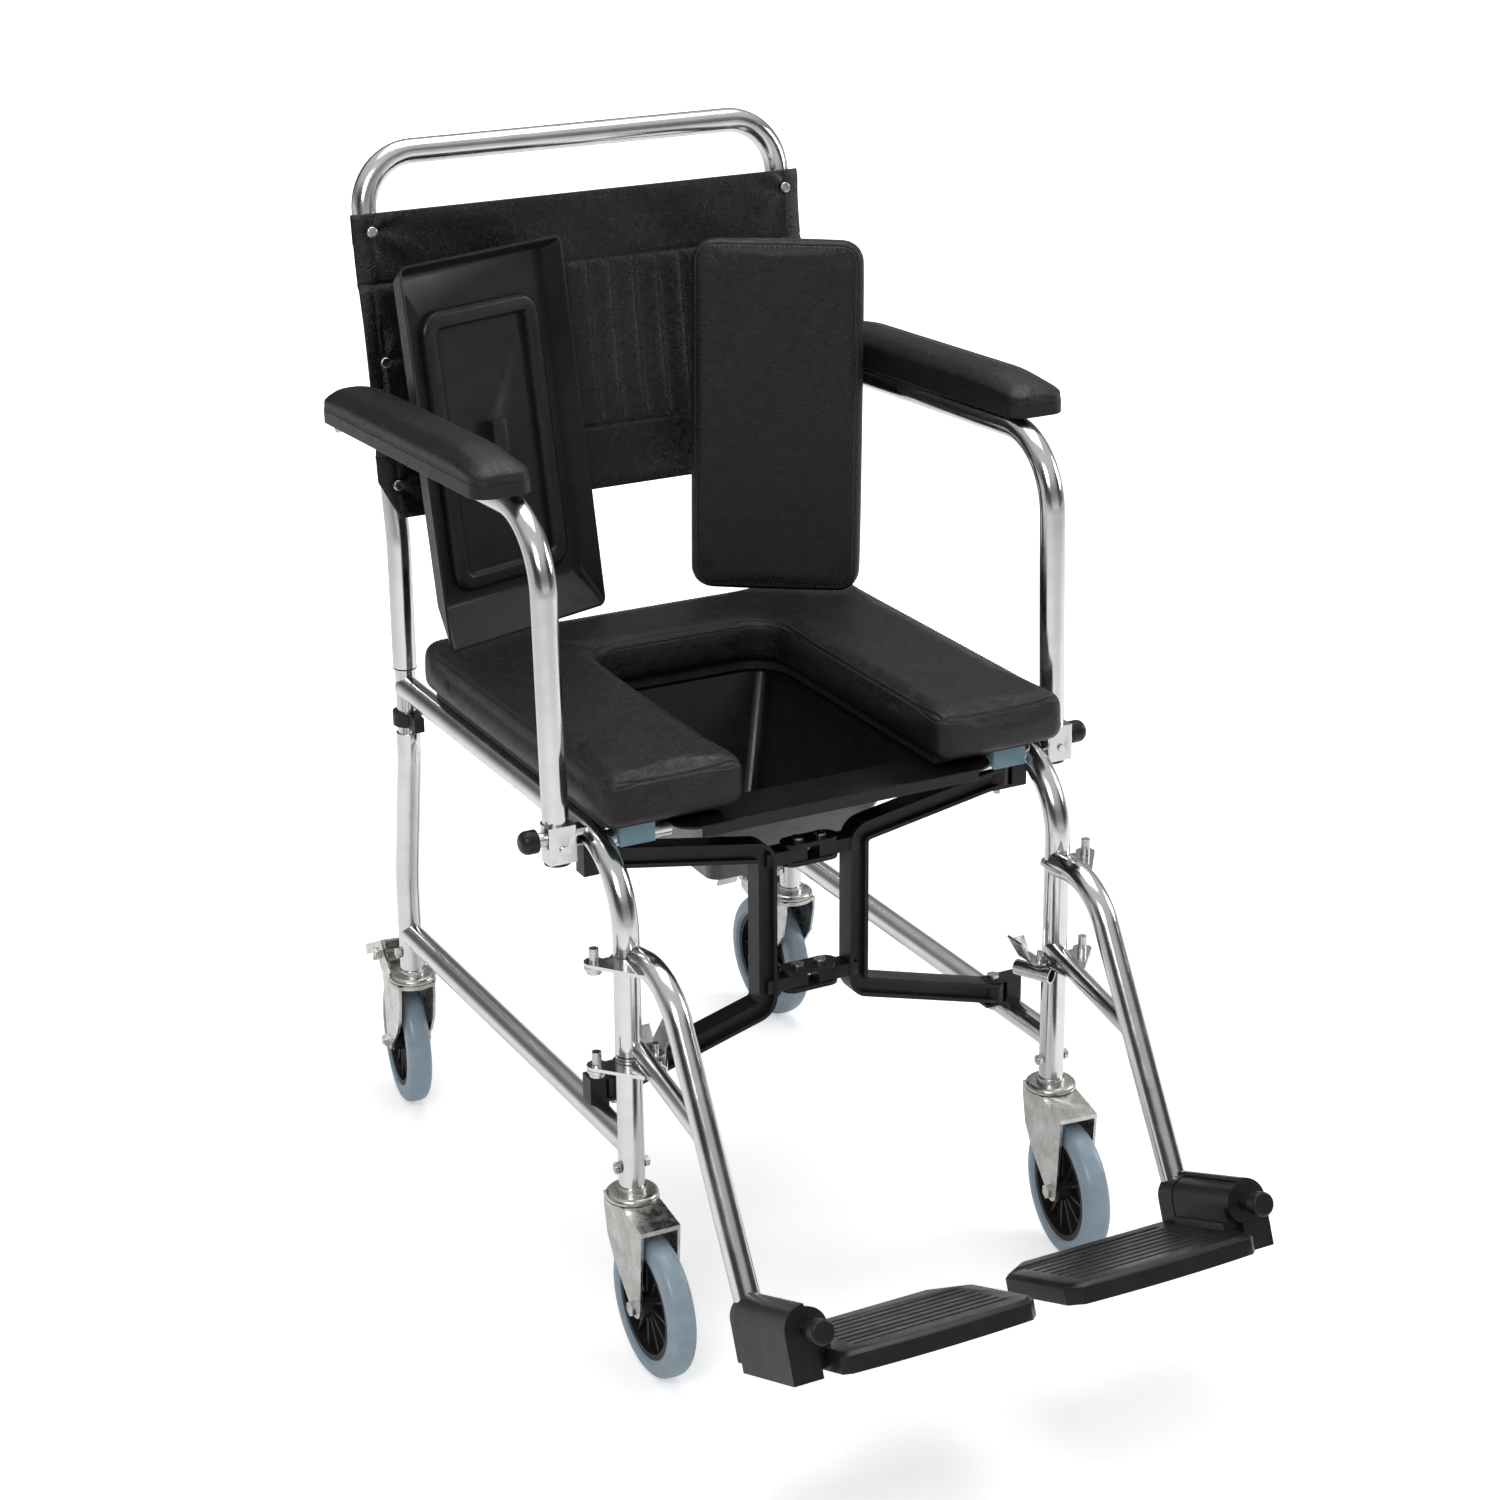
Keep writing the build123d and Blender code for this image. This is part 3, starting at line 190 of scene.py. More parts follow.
class Finish:
    """A Principled finish that reads the piece's own coordinates."""

    def __init__(self, name, **sockets):
        self.material = bpy.data.materials.new(name)
        self.material.use_nodes = True
        self.tree = self.material.node_tree
        self.shader = self.tree.nodes["Principled BSDF"]
        for key, value in sockets.items():
            self.shader.inputs[key.replace("_", " ")].default_value = value
        self.place = node(self.tree, "ShaderNodeTexCoord").outputs["Object"]
        self.heights = []

    def stretch(self, x, y, z):
        """The piece's coordinates scaled along each axis."""
        return node(self.tree, "ShaderNodeMapping", {"Vector": self.place, "Scale": (x, y, z)}).outputs[0]

    def noise(self, scale, detail=4.0, roughness=0.55, place=None, distortion=0.0):
        """Cloudy noise, 0 to 1, with this many clouds to the metre."""
        inputs = {"Vector": place or self.place, "Scale": scale, "Detail": detail,
                  "Roughness": roughness, "Distortion": distortion}
        return node(self.tree, "ShaderNodeTexNoise", inputs).outputs["Fac"]

    def cells(self, scale, place):
        """Distance to the nearest border of irregular cells, this many to the metre."""
        inputs = {"Vector": place, "Scale": scale, "Randomness": 1.0}
        return node(self.tree, "ShaderNodeTexVoronoi", inputs, feature="DISTANCE_TO_EDGE").outputs["Distance"]

    def warped(self, scale, amount):
        """The piece's coordinates pushed about by a noise."""
        push = node(self.tree, "ShaderNodeTexNoise", {"Vector": self.place, "Scale": scale, "Detail": 2.0})
        centred = node(self.tree, "ShaderNodeVectorMath",
                       {0: push.outputs["Color"], 1: (0.5, 0.5, 0.5)}, operation="SUBTRACT")
        scaled = node(self.tree, "ShaderNodeVectorMath",
                      {0: centred.outputs[0], "Scale": amount}, operation="SCALE")
        return node(self.tree, "ShaderNodeVectorMath",
                    {0: self.place, 1: scaled.outputs[0]}, operation="ADD").outputs[0]

    def spread(self, value, low, high, to_low=0.0, to_high=1.0):
        """The value carried from low..high to to_low..to_high, and held at the ends."""
        inputs = {"Value": value, "From Min": low, "From Max": high, "To Min": to_low, "To Max": to_high}
        return node(self.tree, "ShaderNodeMapRange", inputs).outputs[0]

    def math(self, operation, a, b=0.0):
        """One sum, product or other operation on two values."""
        return node(self.tree, "ShaderNodeMath", {0: a, 1: b}, operation=operation).outputs[0]

    def number(self, name):
        """A number that the mesh keeps for each point."""
        return node(self.tree, "ShaderNodeAttribute", attribute_name=name).outputs["Fac"]

    def colour(self, amount, first, second):
        """Base colour between two colours, by an amount from 0 to 1."""
        mix = node(self.tree, "ShaderNodeMix", {0: amount, 6: (*first, 1), 7: (*second, 1)}, data_type="RGBA")
        self.tree.links.new(mix.outputs[2], self.shader.inputs["Base Color"])

    def rough(self, value, low, high, rough_low, rough_high):
        """Roughness between two limits, as the value goes from low to high."""
        roughness = self.spread(value, low, high, rough_low, rough_high)
        self.tree.links.new(roughness, self.shader.inputs["Roughness"])

    def raise_by(self, value, millimetres):
        """Adds a height, value times this many millimetres, to the surface."""
        self.heights.append(self.math("MULTIPLY", value, millimetres))

    def done(self):
        """Adds up the heights as one bump and gives the material."""
        if self.heights:
            total = self.heights[0]
            for height in self.heights[1:]:
                total = self.math("ADD", total, height)
            bump = node(self.tree, "ShaderNodeBump", {"Height": total, "Distance": 0.001, "Strength": 1.0})
            self.tree.links.new(bump.outputs[0], self.shader.inputs["Normal"])
        return self.material


def chrome():
    """Bright chromed tube: faint haze, fine scratches along it and a few smudges."""
    f = Finish("chromed_tube", Metallic=1.0, Roughness=0.09)
    haze = f.noise(38, 5)
    f.colour(f.spread(haze, 0.35, 0.7), (0.70, 0.70, 0.71), (0.80, 0.80, 0.805))
    smudge = f.noise(22, 6, 0.65)
    f.rough(smudge, 0.40, 0.72, 0.13, 0.24)
    f.raise_by(f.noise(900, 2, 0.5, f.stretch(1, 1, 0.12)), 0.004)
    f.raise_by(f.noise(55, 2), 0.03)
    return f.done()


def zinc():
    """Zinc-plated pressed steel: warm grey, mottled, half dull."""
    f = Finish("zinc_plate", Metallic=1.0)
    cloud = f.noise(60, 6, 0.6)
    f.colour(f.spread(cloud, 0.35, 0.68), (0.50, 0.49, 0.46), (0.72, 0.71, 0.69))
    f.rough(f.noise(140, 5), 0.35, 0.7, 0.20, 0.40)
    f.raise_by(f.noise(700, 3), 0.012)
    f.raise_by(f.noise(70, 3), 0.08)
    return f.done()


def bright_sheet():
    """Nickel-bright sheet bracket with soft brush marks."""
    f = Finish("bright_sheet", Metallic=1.0)
    f.colour(f.noise(90, 4), (0.66, 0.66, 0.66), (0.82, 0.82, 0.81))
    f.rough(f.noise(120, 4), 0.3, 0.7, 0.12, 0.26)
    f.raise_by(f.noise(600, 2, 0.5, f.stretch(0.15, 1, 1)), 0.008)
    return f.done()


def moulded(name, dark, light, rough_low, rough_high, grain=0.02, wave=0.05):
    """Black moulded plastic: fine spark texture, slow waves and scuffs in its gloss."""
    f = Finish(name, Specular_IOR_Level=0.32)
    f.colour(f.spread(f.noise(45, 6, 0.6), 0.3, 0.75), dark, light)
    f.rough(f.noise(75, 7, 0.65), 0.3, 0.72, rough_low, rough_high)
    f.raise_by(f.noise(1500, 3), grain)
    f.raise_by(f.noise(30, 2), wave)
    return f.done()


def tyre_rubber():
    """Grey-blue solid tyre with a satin skin, dulled and dusted on the tread."""
    f = Finish("tyre_rubber", Coat_Weight=0.25, Coat_Roughness=0.12)
    dust = f.noise(85, 6, 0.65)
    f.colour(f.spread(dust, 0.40, 0.80), (0.235, 0.315, 0.385), (0.30, 0.375, 0.43))
    f.rough(f.noise(60, 5), 0.3, 0.7, 0.28, 0.44)
    f.raise_by(f.noise(420, 4), 0.02)
    return f.done()


def vinyl(name, cell, depth, crease, rough_low, rough_high, dark, light, seam=False, wave=0.7):
    """Black upholstery vinyl: small pebbled cells, short creases and slow waves.
    cell is the number of cells to the metre; depth, crease and wave are heights in millimetres."""
    f = Finish(name, Coat_Weight=0.08, Coat_Roughness=0.3, Specular_IOR_Level=0.36)
    warp = f.warped(cell * 0.35, 0.9 / cell)
    pebble = f.spread(f.cells(cell, place=warp), 0.0, 0.28)
    fine = f.spread(f.cells(cell * 2.1, place=warp), 0.0, 0.3)
    lines = f.noise(150, 5, 0.7, f.stretch(0.6, 0.6, 1.6), 1.6)
    ridge = f.math("ABSOLUTE", f.math("SUBTRACT", lines, 0.5))
    fold = f.spread(ridge, 0.0, 0.05)
    f.colour(f.spread(f.noise(28, 5), 0.3, 0.75), dark, light)
    f.rough(f.noise(120, 5), 0.3, 0.7, rough_low, rough_high)
    f.raise_by(pebble, depth)
    f.raise_by(fine, depth * 0.35)
    if crease:
        f.raise_by(fold, crease)
    f.raise_by(f.noise(22, 3, 0.5, None, 0.4), wave)
    if seam:
        away = f.math("ABSOLUTE", f.number("seam"))
        f.raise_by(f.spread(away, 0.0, 0.0020), 1.3)
    return f.done()


def clear_film():
    """Thin clear film left on the push bar."""
    f = Finish("clear_film", Roughness=0.28, Alpha=0.42, Coat_Weight=0.6, Coat_Roughness=0.12)
    f.shader.inputs["Base Color"].default_value = (0.9, 0.9, 0.9, 1)
    f.raise_by(f.noise(90, 4, 0.6, f.stretch(0.25, 1, 1), 1.0), 0.9)
    return f.done()


CHROME = chrome()
ZINC = zinc()
SHEET = bright_sheet()
TYRE = tyre_rubber()
HUB = moulded("hub_plastic", (0.010, 0.009, 0.009), (0.022, 0.019, 0.019), 0.36, 0.55)
SATIN = moulded("satin_black_plastic", (0.0105, 0.0082, 0.0082), (0.0185, 0.0150, 0.0145),
                0.28, 0.42, 0.02, 0.08)
GLOSS = moulded("gloss_black_plastic", (0.006, 0.0052, 0.0052), (0.010, 0.0085, 0.0085),
                0.16, 0.30, 0.006, 0.20)
BOARD = moulded("board_laminate", (0.018, 0.016, 0.016), (0.035, 0.03, 0.03), 0.45, 0.6)
CLIP = moulded("clip_plastic", (0.16, 0.29, 0.36), (0.24, 0.39, 0.46), 0.35, 0.5)
THREAD = moulded("black_thread", (0.030, 0.027, 0.030), (0.060, 0.055, 0.058), 0.5, 0.7)
SEAT_VINYL = vinyl("seat_vinyl", 520, 0.13, 0.14, 0.32, 0.46,
                   (0.0060, 0.0052, 0.0062), (0.0105, 0.0090, 0.0105), True, 1.1)
PAD_VINYL = vinyl("pad_vinyl", 480, 0.12, 0.08, 0.30, 0.42, (0.0065, 0.0056, 0.0060), (0.012, 0.0102, 0.0110))
SLING_VINYL = vinyl("sling_vinyl", 430, 0.20, 0.0, 0.24, 0.32,
                    (0.0050, 0.0045, 0.0050), (0.0085, 0.0076, 0.0082), False, 0.12)
FILM = clear_film()

FINISH_OF = {
    "chrome": (CHROME, 0.0003), "zinc_plate": (ZINC, 0.0004), "bright_sheet": (SHEET, 0.0004),
    "hub_plastic": (HUB, 0.0006), "black_plastic": (SATIN, 0.0007), "gloss_plastic": (GLOSS, 0.0008),
    "clip_plastic": (CLIP, 0.0004), "board": (BOARD, 0.0005), "tyre_rubber": (TYRE, 0.0004),
}
SLOT_OF = {entry["node"]: entry["material_slot"] for entry in record["subparts"]}


# ---- machined, pressed and moulded pieces: merged copies with softened edges ----
def soften(name):
    """A merged copy of a CAD node: flat faces joined, edges above 32 degrees rounded by edge metres."""
    finish, edge = FINISH_OF[SLOT_OF[name]]
    mesh = nodes[name].data.copy()
    bm = bmesh.new()
    bm.from_mesh(mesh)
    bmesh.ops.remove_doubles(bm, verts=bm.verts, dist=2e-6)
    bmesh.ops.dissolve_degenerate(bm, edges=bm.edges, dist=1e-6)
    bmesh.ops.dissolve_limit(bm, angle_limit=radians(0.3), verts=bm.verts, edges=bm.edges)
    bm.to_mesh(mesh)
    bm.free()
    part = put(name + "_finished", mesh, finish, body_of_node[name], [name])
    mesh.set_sharp_from_angle(angle=radians(40))
    round_edge = part.modifiers.new("rounded edges", "BEVEL")
    round_edge.width = edge
    round_edge.segments = 2
    round_edge.limit_method = "ANGLE"
    round_edge.angle_limit = radians(32)
    round_edge.harden_normals = True


# ---- casters ----
def place_on_axle(points, corner):
    """Turns points drawn about the X axis to the wheel's own axle and centre."""
    axle = joint["wheel_" + corner]
    turn = np.arctan2(axle["axis"][1], axle["axis"][0])
    c, s = np.cos(turn), np.sin(turn)
    x, y, z = points[..., 0], points[..., 1], points[..., 2]
    return np.stack([x * c - y * s, x * s + y * c, z], -1) + np.array(axle["pos_m"])


def lathe(profile, count):
    """Profile points (x, radius) turned about X: (x, r sin a, r cos a)."""
    a = np.linspace(0, 2 * pi, count, endpoint=False)[:, None]
    x, r = np.asarray(profile, float).T[:, None, :]
    return np.stack([x + 0 * a, r * np.sin(a), r * np.cos(a)], -1)


def tyre(corner):
    """Solid tyre: superellipse tread with a low moulding ridge round its middle, and a lip at the hub."""
    half, shoulder, swell, ridge, count = 0.0120, 0.0520, 0.0115, 0.00018, 160
    t = np.linspace(0, 1, 49)
    across = (t * 2 - 1) * half
    bulge = (1 - np.abs(across / half) ** 3.2) ** (1 / 2.6)
    outer = shoulder + swell * bulge + ridge * dell(across, 0.00045)
    crown = np.stack([across, outer], 1)
    rim = [(half, 0.0505), (0.0116, 0.0492), (0.0106, 0.0486), (0.0104, 0.0470),
           (-0.0104, 0.0470), (-0.0106, 0.0486), (-0.0116, 0.0492), (-half, 0.0505)]
    profile = np.vstack([crown, rim])
    ring = place_on_axle(lathe(profile, count), corner)
    mesh = raw_mesh("tyre", ring, skin(count, len(profile), True, True))
    tidy_shell(mesh)
    name = "caster_tyre_" + corner
    put(name + "_finished", mesh, TYRE, body_of_node[name], [name])


# ---- stitches ----
def stitches(name, centres, along, out, body, long=0.0034, thick=0.00045):
    """A row of thread stitches: each is a small capsule, an ellipse of the thread carried along its length
    with half-round ends, sunk by a third of its thickness."""
    rows, spokes = 5, 6
    u = np.linspace(0, pi, rows)[:, None]
    v = np.linspace(0, 2 * pi, spokes, endpoint=False)[None, :]
    a = -np.cos(u) * long / 2 + 0 * v
    b = np.sin(u) ** 0.5 * np.cos(v) * thick
    c = np.sin(u) ** 0.5 * np.sin(v) * thick * 0.8
    side = np.cross(out, along)
    lifted = c[None, ..., None] + thick * 0.2
    points = (centres[:, None, None, :] + a[None, ..., None] * along[:, None, None, :]
              + b[None, ..., None] * side[:, None, None, :] + lifted * out[:, None, None, :])
    one = skin(rows, spokes, False, True)
    faces = (one[None] + np.arange(len(centres))[:, None, None] * rows * spokes).reshape(-1, 4)
    mesh = raw_mesh(name, points, faces)
    tidy_shell(mesh, 1e-6)
    put(name, mesh, THREAD, body)


def stitch_line(name, line, surface, body, pitch=0.0046, closed=True, lift=0.01, down=(0, 0, -1)):
    """Stitches along a line, dropped onto a surface along a direction."""
    count = int(length_of(line, closed) / pitch)
    line = even(line, count, closed)
    faces = [list(face.vertices) for face in surface.polygons]
    mesh_tree = BVHTree.FromPolygons(points_of(surface).tolist(), faces)
    down = Vector(down).normalized()
    hits = [mesh_tree.ray_cast(Vector(p) - down * lift, down) for p in line]
    good = [i for i, hit in enumerate(hits) if hit[0] is not None]
    spots = np.array([hits[i][0] for i in good])
    out = np.array([hits[i][1] for i in good])
    run = np.roll(line, -1, 0) - np.roll(line, 1, 0)
    run = run[good]
    run -= (run * out).sum(1)[:, None] * out
    run /= np.linalg.norm(run, axis=1)[:, None]
    stitches(name, spots, run, out, body)


# ---- stuffed cushions ----
def blank(loops, name):
    """A closed solid of stacked loops, each with the same number of points, with flat ends."""
    count = len(loops[0])
    points = np.concatenate(loops)
    faces = [list(f) for f in skin(len(loops), count, False, True)]
    faces.append(list(range(count))[::-1])
    faces.append(list(range(len(points) - count, len(points))))
    mesh = raw_mesh(name, points, faces)
    tidy_shell(mesh, 1e-7)
    return mesh


def baked(part):
    """The part's mesh with its modifiers carried out, and the modifiers gone."""
    graph = bpy.context.evaluated_depsgraph_get()
    graph.update()
    mesh = bpy.data.meshes.new_from_object(part.evaluated_get(graph))
    part.modifiers.clear()
    part.data = mesh
    return mesh


def stuff(mesh, voxel, held, pressure, cap):
    """Swells a closed blank like filled fabric: even remesh, cloth under inner pressure with some points
    held, movement limited to cap, then one subdivision."""
    scene = bpy.context.scene
    part = bpy.data.objects.new("stuffing", mesh)
    scene.collection.objects.link(part)
    part.modifiers.new("even", "REMESH").voxel_size = voxel
    part.modifiers["even"].mode = "VOXEL"
    settle = part.modifiers.new("settle", "SMOOTH")
    settle.factor = 0.5
    settle.iterations = 2
    mesh = baked(part)
    rest = points_of(mesh).copy()
    group = part.vertex_groups.new(name="held")
    group.add([int(i) for i in np.flatnonzero(held(rest))], 1.0, "REPLACE")
    cloth = part.modifiers.new("filling", "CLOTH")
    settings = cloth.settings
    settings.quality = 6
    settings.mass = 0.25
    settings.tension_stiffness = 12
    settings.compression_stiffness = 8
    settings.shear_stiffness = 4
    settings.bending_stiffness = 0.4
    settings.use_pressure = True
    settings.uniform_pressure_force = pressure
    settings.effector_weights.gravity = 0
    settings.vertex_group_mass = "held"
    cloth.collision_settings.use_collision = False
    cloth.point_cache.frame_start, cloth.point_cache.frame_end = 1, 20
    for step in range(1, 21):
        scene.frame_set(step)
    graph = bpy.context.evaluated_depsgraph_get()
    moved = points_of(part.evaluated_get(graph).data) - rest
    size = np.linalg.norm(moved, axis=1)
    moved *= np.minimum(1, cap / np.maximum(size, 1e-9))[:, None]
    part.modifiers.clear()
    scene.frame_set(1)
    set_points(part.data, rest + moved)
    part.modifiers.new("finer", "SUBSURF").levels = 1
    mesh = baked(part)
    bpy.data.objects.remove(part)
    return mesh


def to_box(x, y, half_x, half_y, radius):
    """Distance outside (or, below zero, inside) a rectangle with round corners about the origin."""
    qx, qy = np.abs(x) - half_x + radius, np.abs(y) - half_y + radius
    return np.hypot(np.maximum(qx, 0), np.maximum(qy, 0)) + np.minimum(np.maximum(qx, qy), 0) - radius


# ---- seat cushion ----
SEAT_LOW, SEAT_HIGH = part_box("seat_cushion")
SLOT_HALF, SLOT_REAR = 0.088, SEAT_HIGH[1] - 0.104


def seat_loop(inset, z, count=420):
    """Outline of the U-shaped seat, drawn in by inset all round."""
    half, rear, front = SEAT_HIGH[0] - inset, SEAT_HIGH[1] - inset, SEAT_LOW[1] + inset
    slot, back = SLOT_HALF + inset, SLOT_REAR + inset
    corners = [(half, front), (half, rear), (-half, rear), (-half, front),
               (-slot, front), (-slot, back), (slot, back), (slot, front)]
    radii = [0.016, 0.028, 0.028, 0.016, 0.016, 0.024 + inset, 0.024 + inset, 0.016]
    radii = [max(r - inset, 0.003) if i not in (5, 6) else r for i, r in enumerate(radii)]
    flat = even(round_corners(corners, radii), count)
    return np.column_stack([flat, np.full(count, z)])


def seat_cushion():
    """U-shaped boxed cushion, swollen by its foam, with a sewn edge."""
    low, high = SEAT_LOW[2], SEAT_HIGH[2]
    steps = [(0.0120, low), (0.0080, low + 0.0014), (0.0052, low + 0.0045), (0.0038, low + 0.0090),
             (0.0035, high - 0.013), (0.0045, high - 0.009), (0.0070, high - 0.005), (0.0105, high - 0.0035)]
    mesh = blank([seat_loop(inset, z) for inset, z in steps], "seat_blank")
    mesh = stuff(mesh, 0.0042, lambda p: p[:, 2] < low + 0.003, 1.6, 0.0026)
    p = points_of(mesh)
    p[:, 2] = np.clip(p[:, 2], low, high + 0.003)
    p[:, 1] = np.clip(p[:, 1], SEAT_LOW[1] - 0.003, SEAT_HIGH[1] + 0.003)
    set_points(mesh, p)
    middle = (SEAT_LOW[1] + SEAT_HIGH[1]) / 2
    outside = to_box(p[:, 0], p[:, 1] - middle, SEAT_HIGH[0], (SEAT_HIGH[1] - SEAT_LOW[1]) / 2, 0.024)
    slot = to_box(p[:, 0], p[:, 1] - SLOT_REAR + 0.4, SLOT_HALF, 0.4, 0.024)
    inside = -np.maximum(outside, -slot)
    top = smoothstep(high - 0.016, high - 0.008, p[:, 2])
    keep_number(mesh, "seam", (inside - 0.0085) * top + 0.02 * (1 - top))
    cushion = put("seat_cushion_sewn", mesh, SEAT_VINYL, "seat", ["seat_cushion"])
    stitch_line("seat_stitches", seat_loop(0.0105, high), mesh, "seat")


# ---- loose insert cushion ----
def stood(points, place, yaw, lean, lift):
    """Places points drawn upright, facing -Y, as a piece standing on the seat, turned and leaning back."""
    turn = Matrix.Rotation(yaw, 3, "Z") @ Matrix.Rotation(-lean, 3, "X")
    return np.asarray(points) @ np.array(turn).T + np.array([place[0], place[1], lift])


def upright_loop(half_wide, tall, radius, inset, depth, count=260):
    """Rounded rectangle standing on its lower edge, drawn in by inset, at a depth along Y."""
    low, high = inset, tall - inset
    side = half_wide - inset
    corners = [(side, low), (side, high), (-side, high), (-side, low)]
    flat = even(round_corners(corners, [max(radius - inset, 0.003)] * 4), count)
    return np.column_stack([flat[:, 0], np.full(count, depth), flat[:, 1]])


def insert_cushion():
    """Boxed cushion, crowned on its front face, with a sewn edge at the front."""
    half, tall, thick = 0.0815, 0.330, 0.024
    steps = [(0.0045, thick - 0.001), (0.0025, thick - 0.003), (0.0022, 0.008), (0.0035, 0.0050),
             (0.0065, 0.0030), (0.0100, 0.0024)]
    mesh = blank([upright_loop(half, tall, 0.022, i, d) for i, d in steps], "insert_blank")
    mesh = stuff(mesh, 0.0034, lambda p: p[:, 1] > thick - 0.0035, 0.7, 0.0012)
    p = points_of(mesh)
    p[:, 1] = np.clip(p[:, 1], -0.0015, thick)
    inside = -to_box(p[:, 0], p[:, 2] - tall / 2, half, tall / 2, 0.022)
    front = 1 - smoothstep(0.006, 0.012, p[:, 1])
    keep_number(mesh, "seam", (inside - 0.0075) * front + 0.02 * (1 - front))
    line = upright_loop(half, tall, 0.022, 0.0085, 0.0)
    place, yaw, lean = (0.1205, REAR_Y - 0.131), radians(-35), radians(6.6)
    lift = SEAT_HIGH[2] + 0.0003 + thick * sin(lean)
    set_points(mesh, stood(p, place, yaw, lean, lift))
    cushion = put("insert_cushion_sewn", mesh, SEAT_VINYL, "insert", ["insert_cushion"])
    into = stood([(0, 1, 0)], (0, 0), yaw, lean, 0)[0]
    line = stood(line, place, yaw, lean, lift)
    stitch_line("insert_stitches", line, mesh, "insert", down=into)


# ---- arm pads ----
def arm_pad(side):
    """Moulded pad: loops round the plan drawn in step by step, by the bevelled cross-section, and a nose
    that slopes down at the front."""
    sign = SIDES[side]
    half, rear, front, count = 0.0262, -0.022, -0.376, 300
    section = np.array([(0.0, 0.0), (0.0004, 0.0030), (0.0004, 0.0075), (0.0010, 0.0100), (0.0030, 0.0130),
                        (0.0070, 0.0170), (0.0095, 0.0190), (0.0120, 0.0203), (0.0170, 0.0218),
                        (0.0262, 0.0228)])
    run = np.linspace(0, len(section) - 1, 46)
    inset = np.interp(run, np.arange(len(section)), section[:, 0])
    height = np.interp(run, np.arange(len(section)), section[:, 1])
    kernel = np.array([1, 2, 3, 2, 1]) / 9
    inset = np.concatenate([inset[:2], np.convolve(inset, kernel, "valid"), inset[-2:]])
    height = np.concatenate([height[:2], np.convolve(height, kernel, "valid"), height[-2:]])
    mid_y, half_y = (rear + front) / 2, (rear - front) / 2
    corners = [(half, half_y), (-half, half_y), (-half, -half_y), (half, -half_y)]
    plan = even(round_corners(corners, [0.0155] * 4, 14), count)
    x = plan[None, :, 0] * (half - inset[:, None]) / half
    y = plan[None, :, 1] * (half_y - inset[:, None]) / half_y
    ahead = smoothstep(half_y - 0.075, half_y, -y)
    behind = smoothstep(half_y - 0.060, half_y, y)
    z = height[:, None] * (1 - 0.34 * ahead ** 1.4 - 0.20 * behind)
    points = np.stack([x, y + mid_y, z + TUBE_R + 0.012], -1)
    turn = np.array(Matrix.Rotation(-ARM_RISE, 3, "X"))
    points = points @ turn.T
    points += np.array([ARM_X, PIVOT.y, PIVOT.z])
    points[..., 0] *= sign
    rows = len(inset)
    faces = [list(f) for f in skin(rows, count, False, True)]
    faces.append(list(range(count)))
    mesh = raw_mesh("arm_pad_blank", points, faces)
    tidy_shell(mesh, 2e-5)
    name = "arm_pad_" + side
    pad = put(name + "_moulded", mesh, PAD_VINYL, "armrest_" + side, [name])


# ---- back sling ----
SLING_LOW_H, SLING_HIGH_H = 0.024, 0.297
SEAM_H = (0.081, 0.235)
SCREW_H = (0.054, 0.165, 0.281)
SLING_HALF, SLING_FOOT_HALF, SLING_CUT = 0.2245, 0.2085, 0.034


def leaned(points):
    """Leans points drawn on an upright post back to the line of the bow."""
    turn = np.array(Matrix.Rotation(-BACK_LEAN, 3, "X"))
    return points @ turn.T + np.array([0, POST_Y, BOW_BEND_Z])


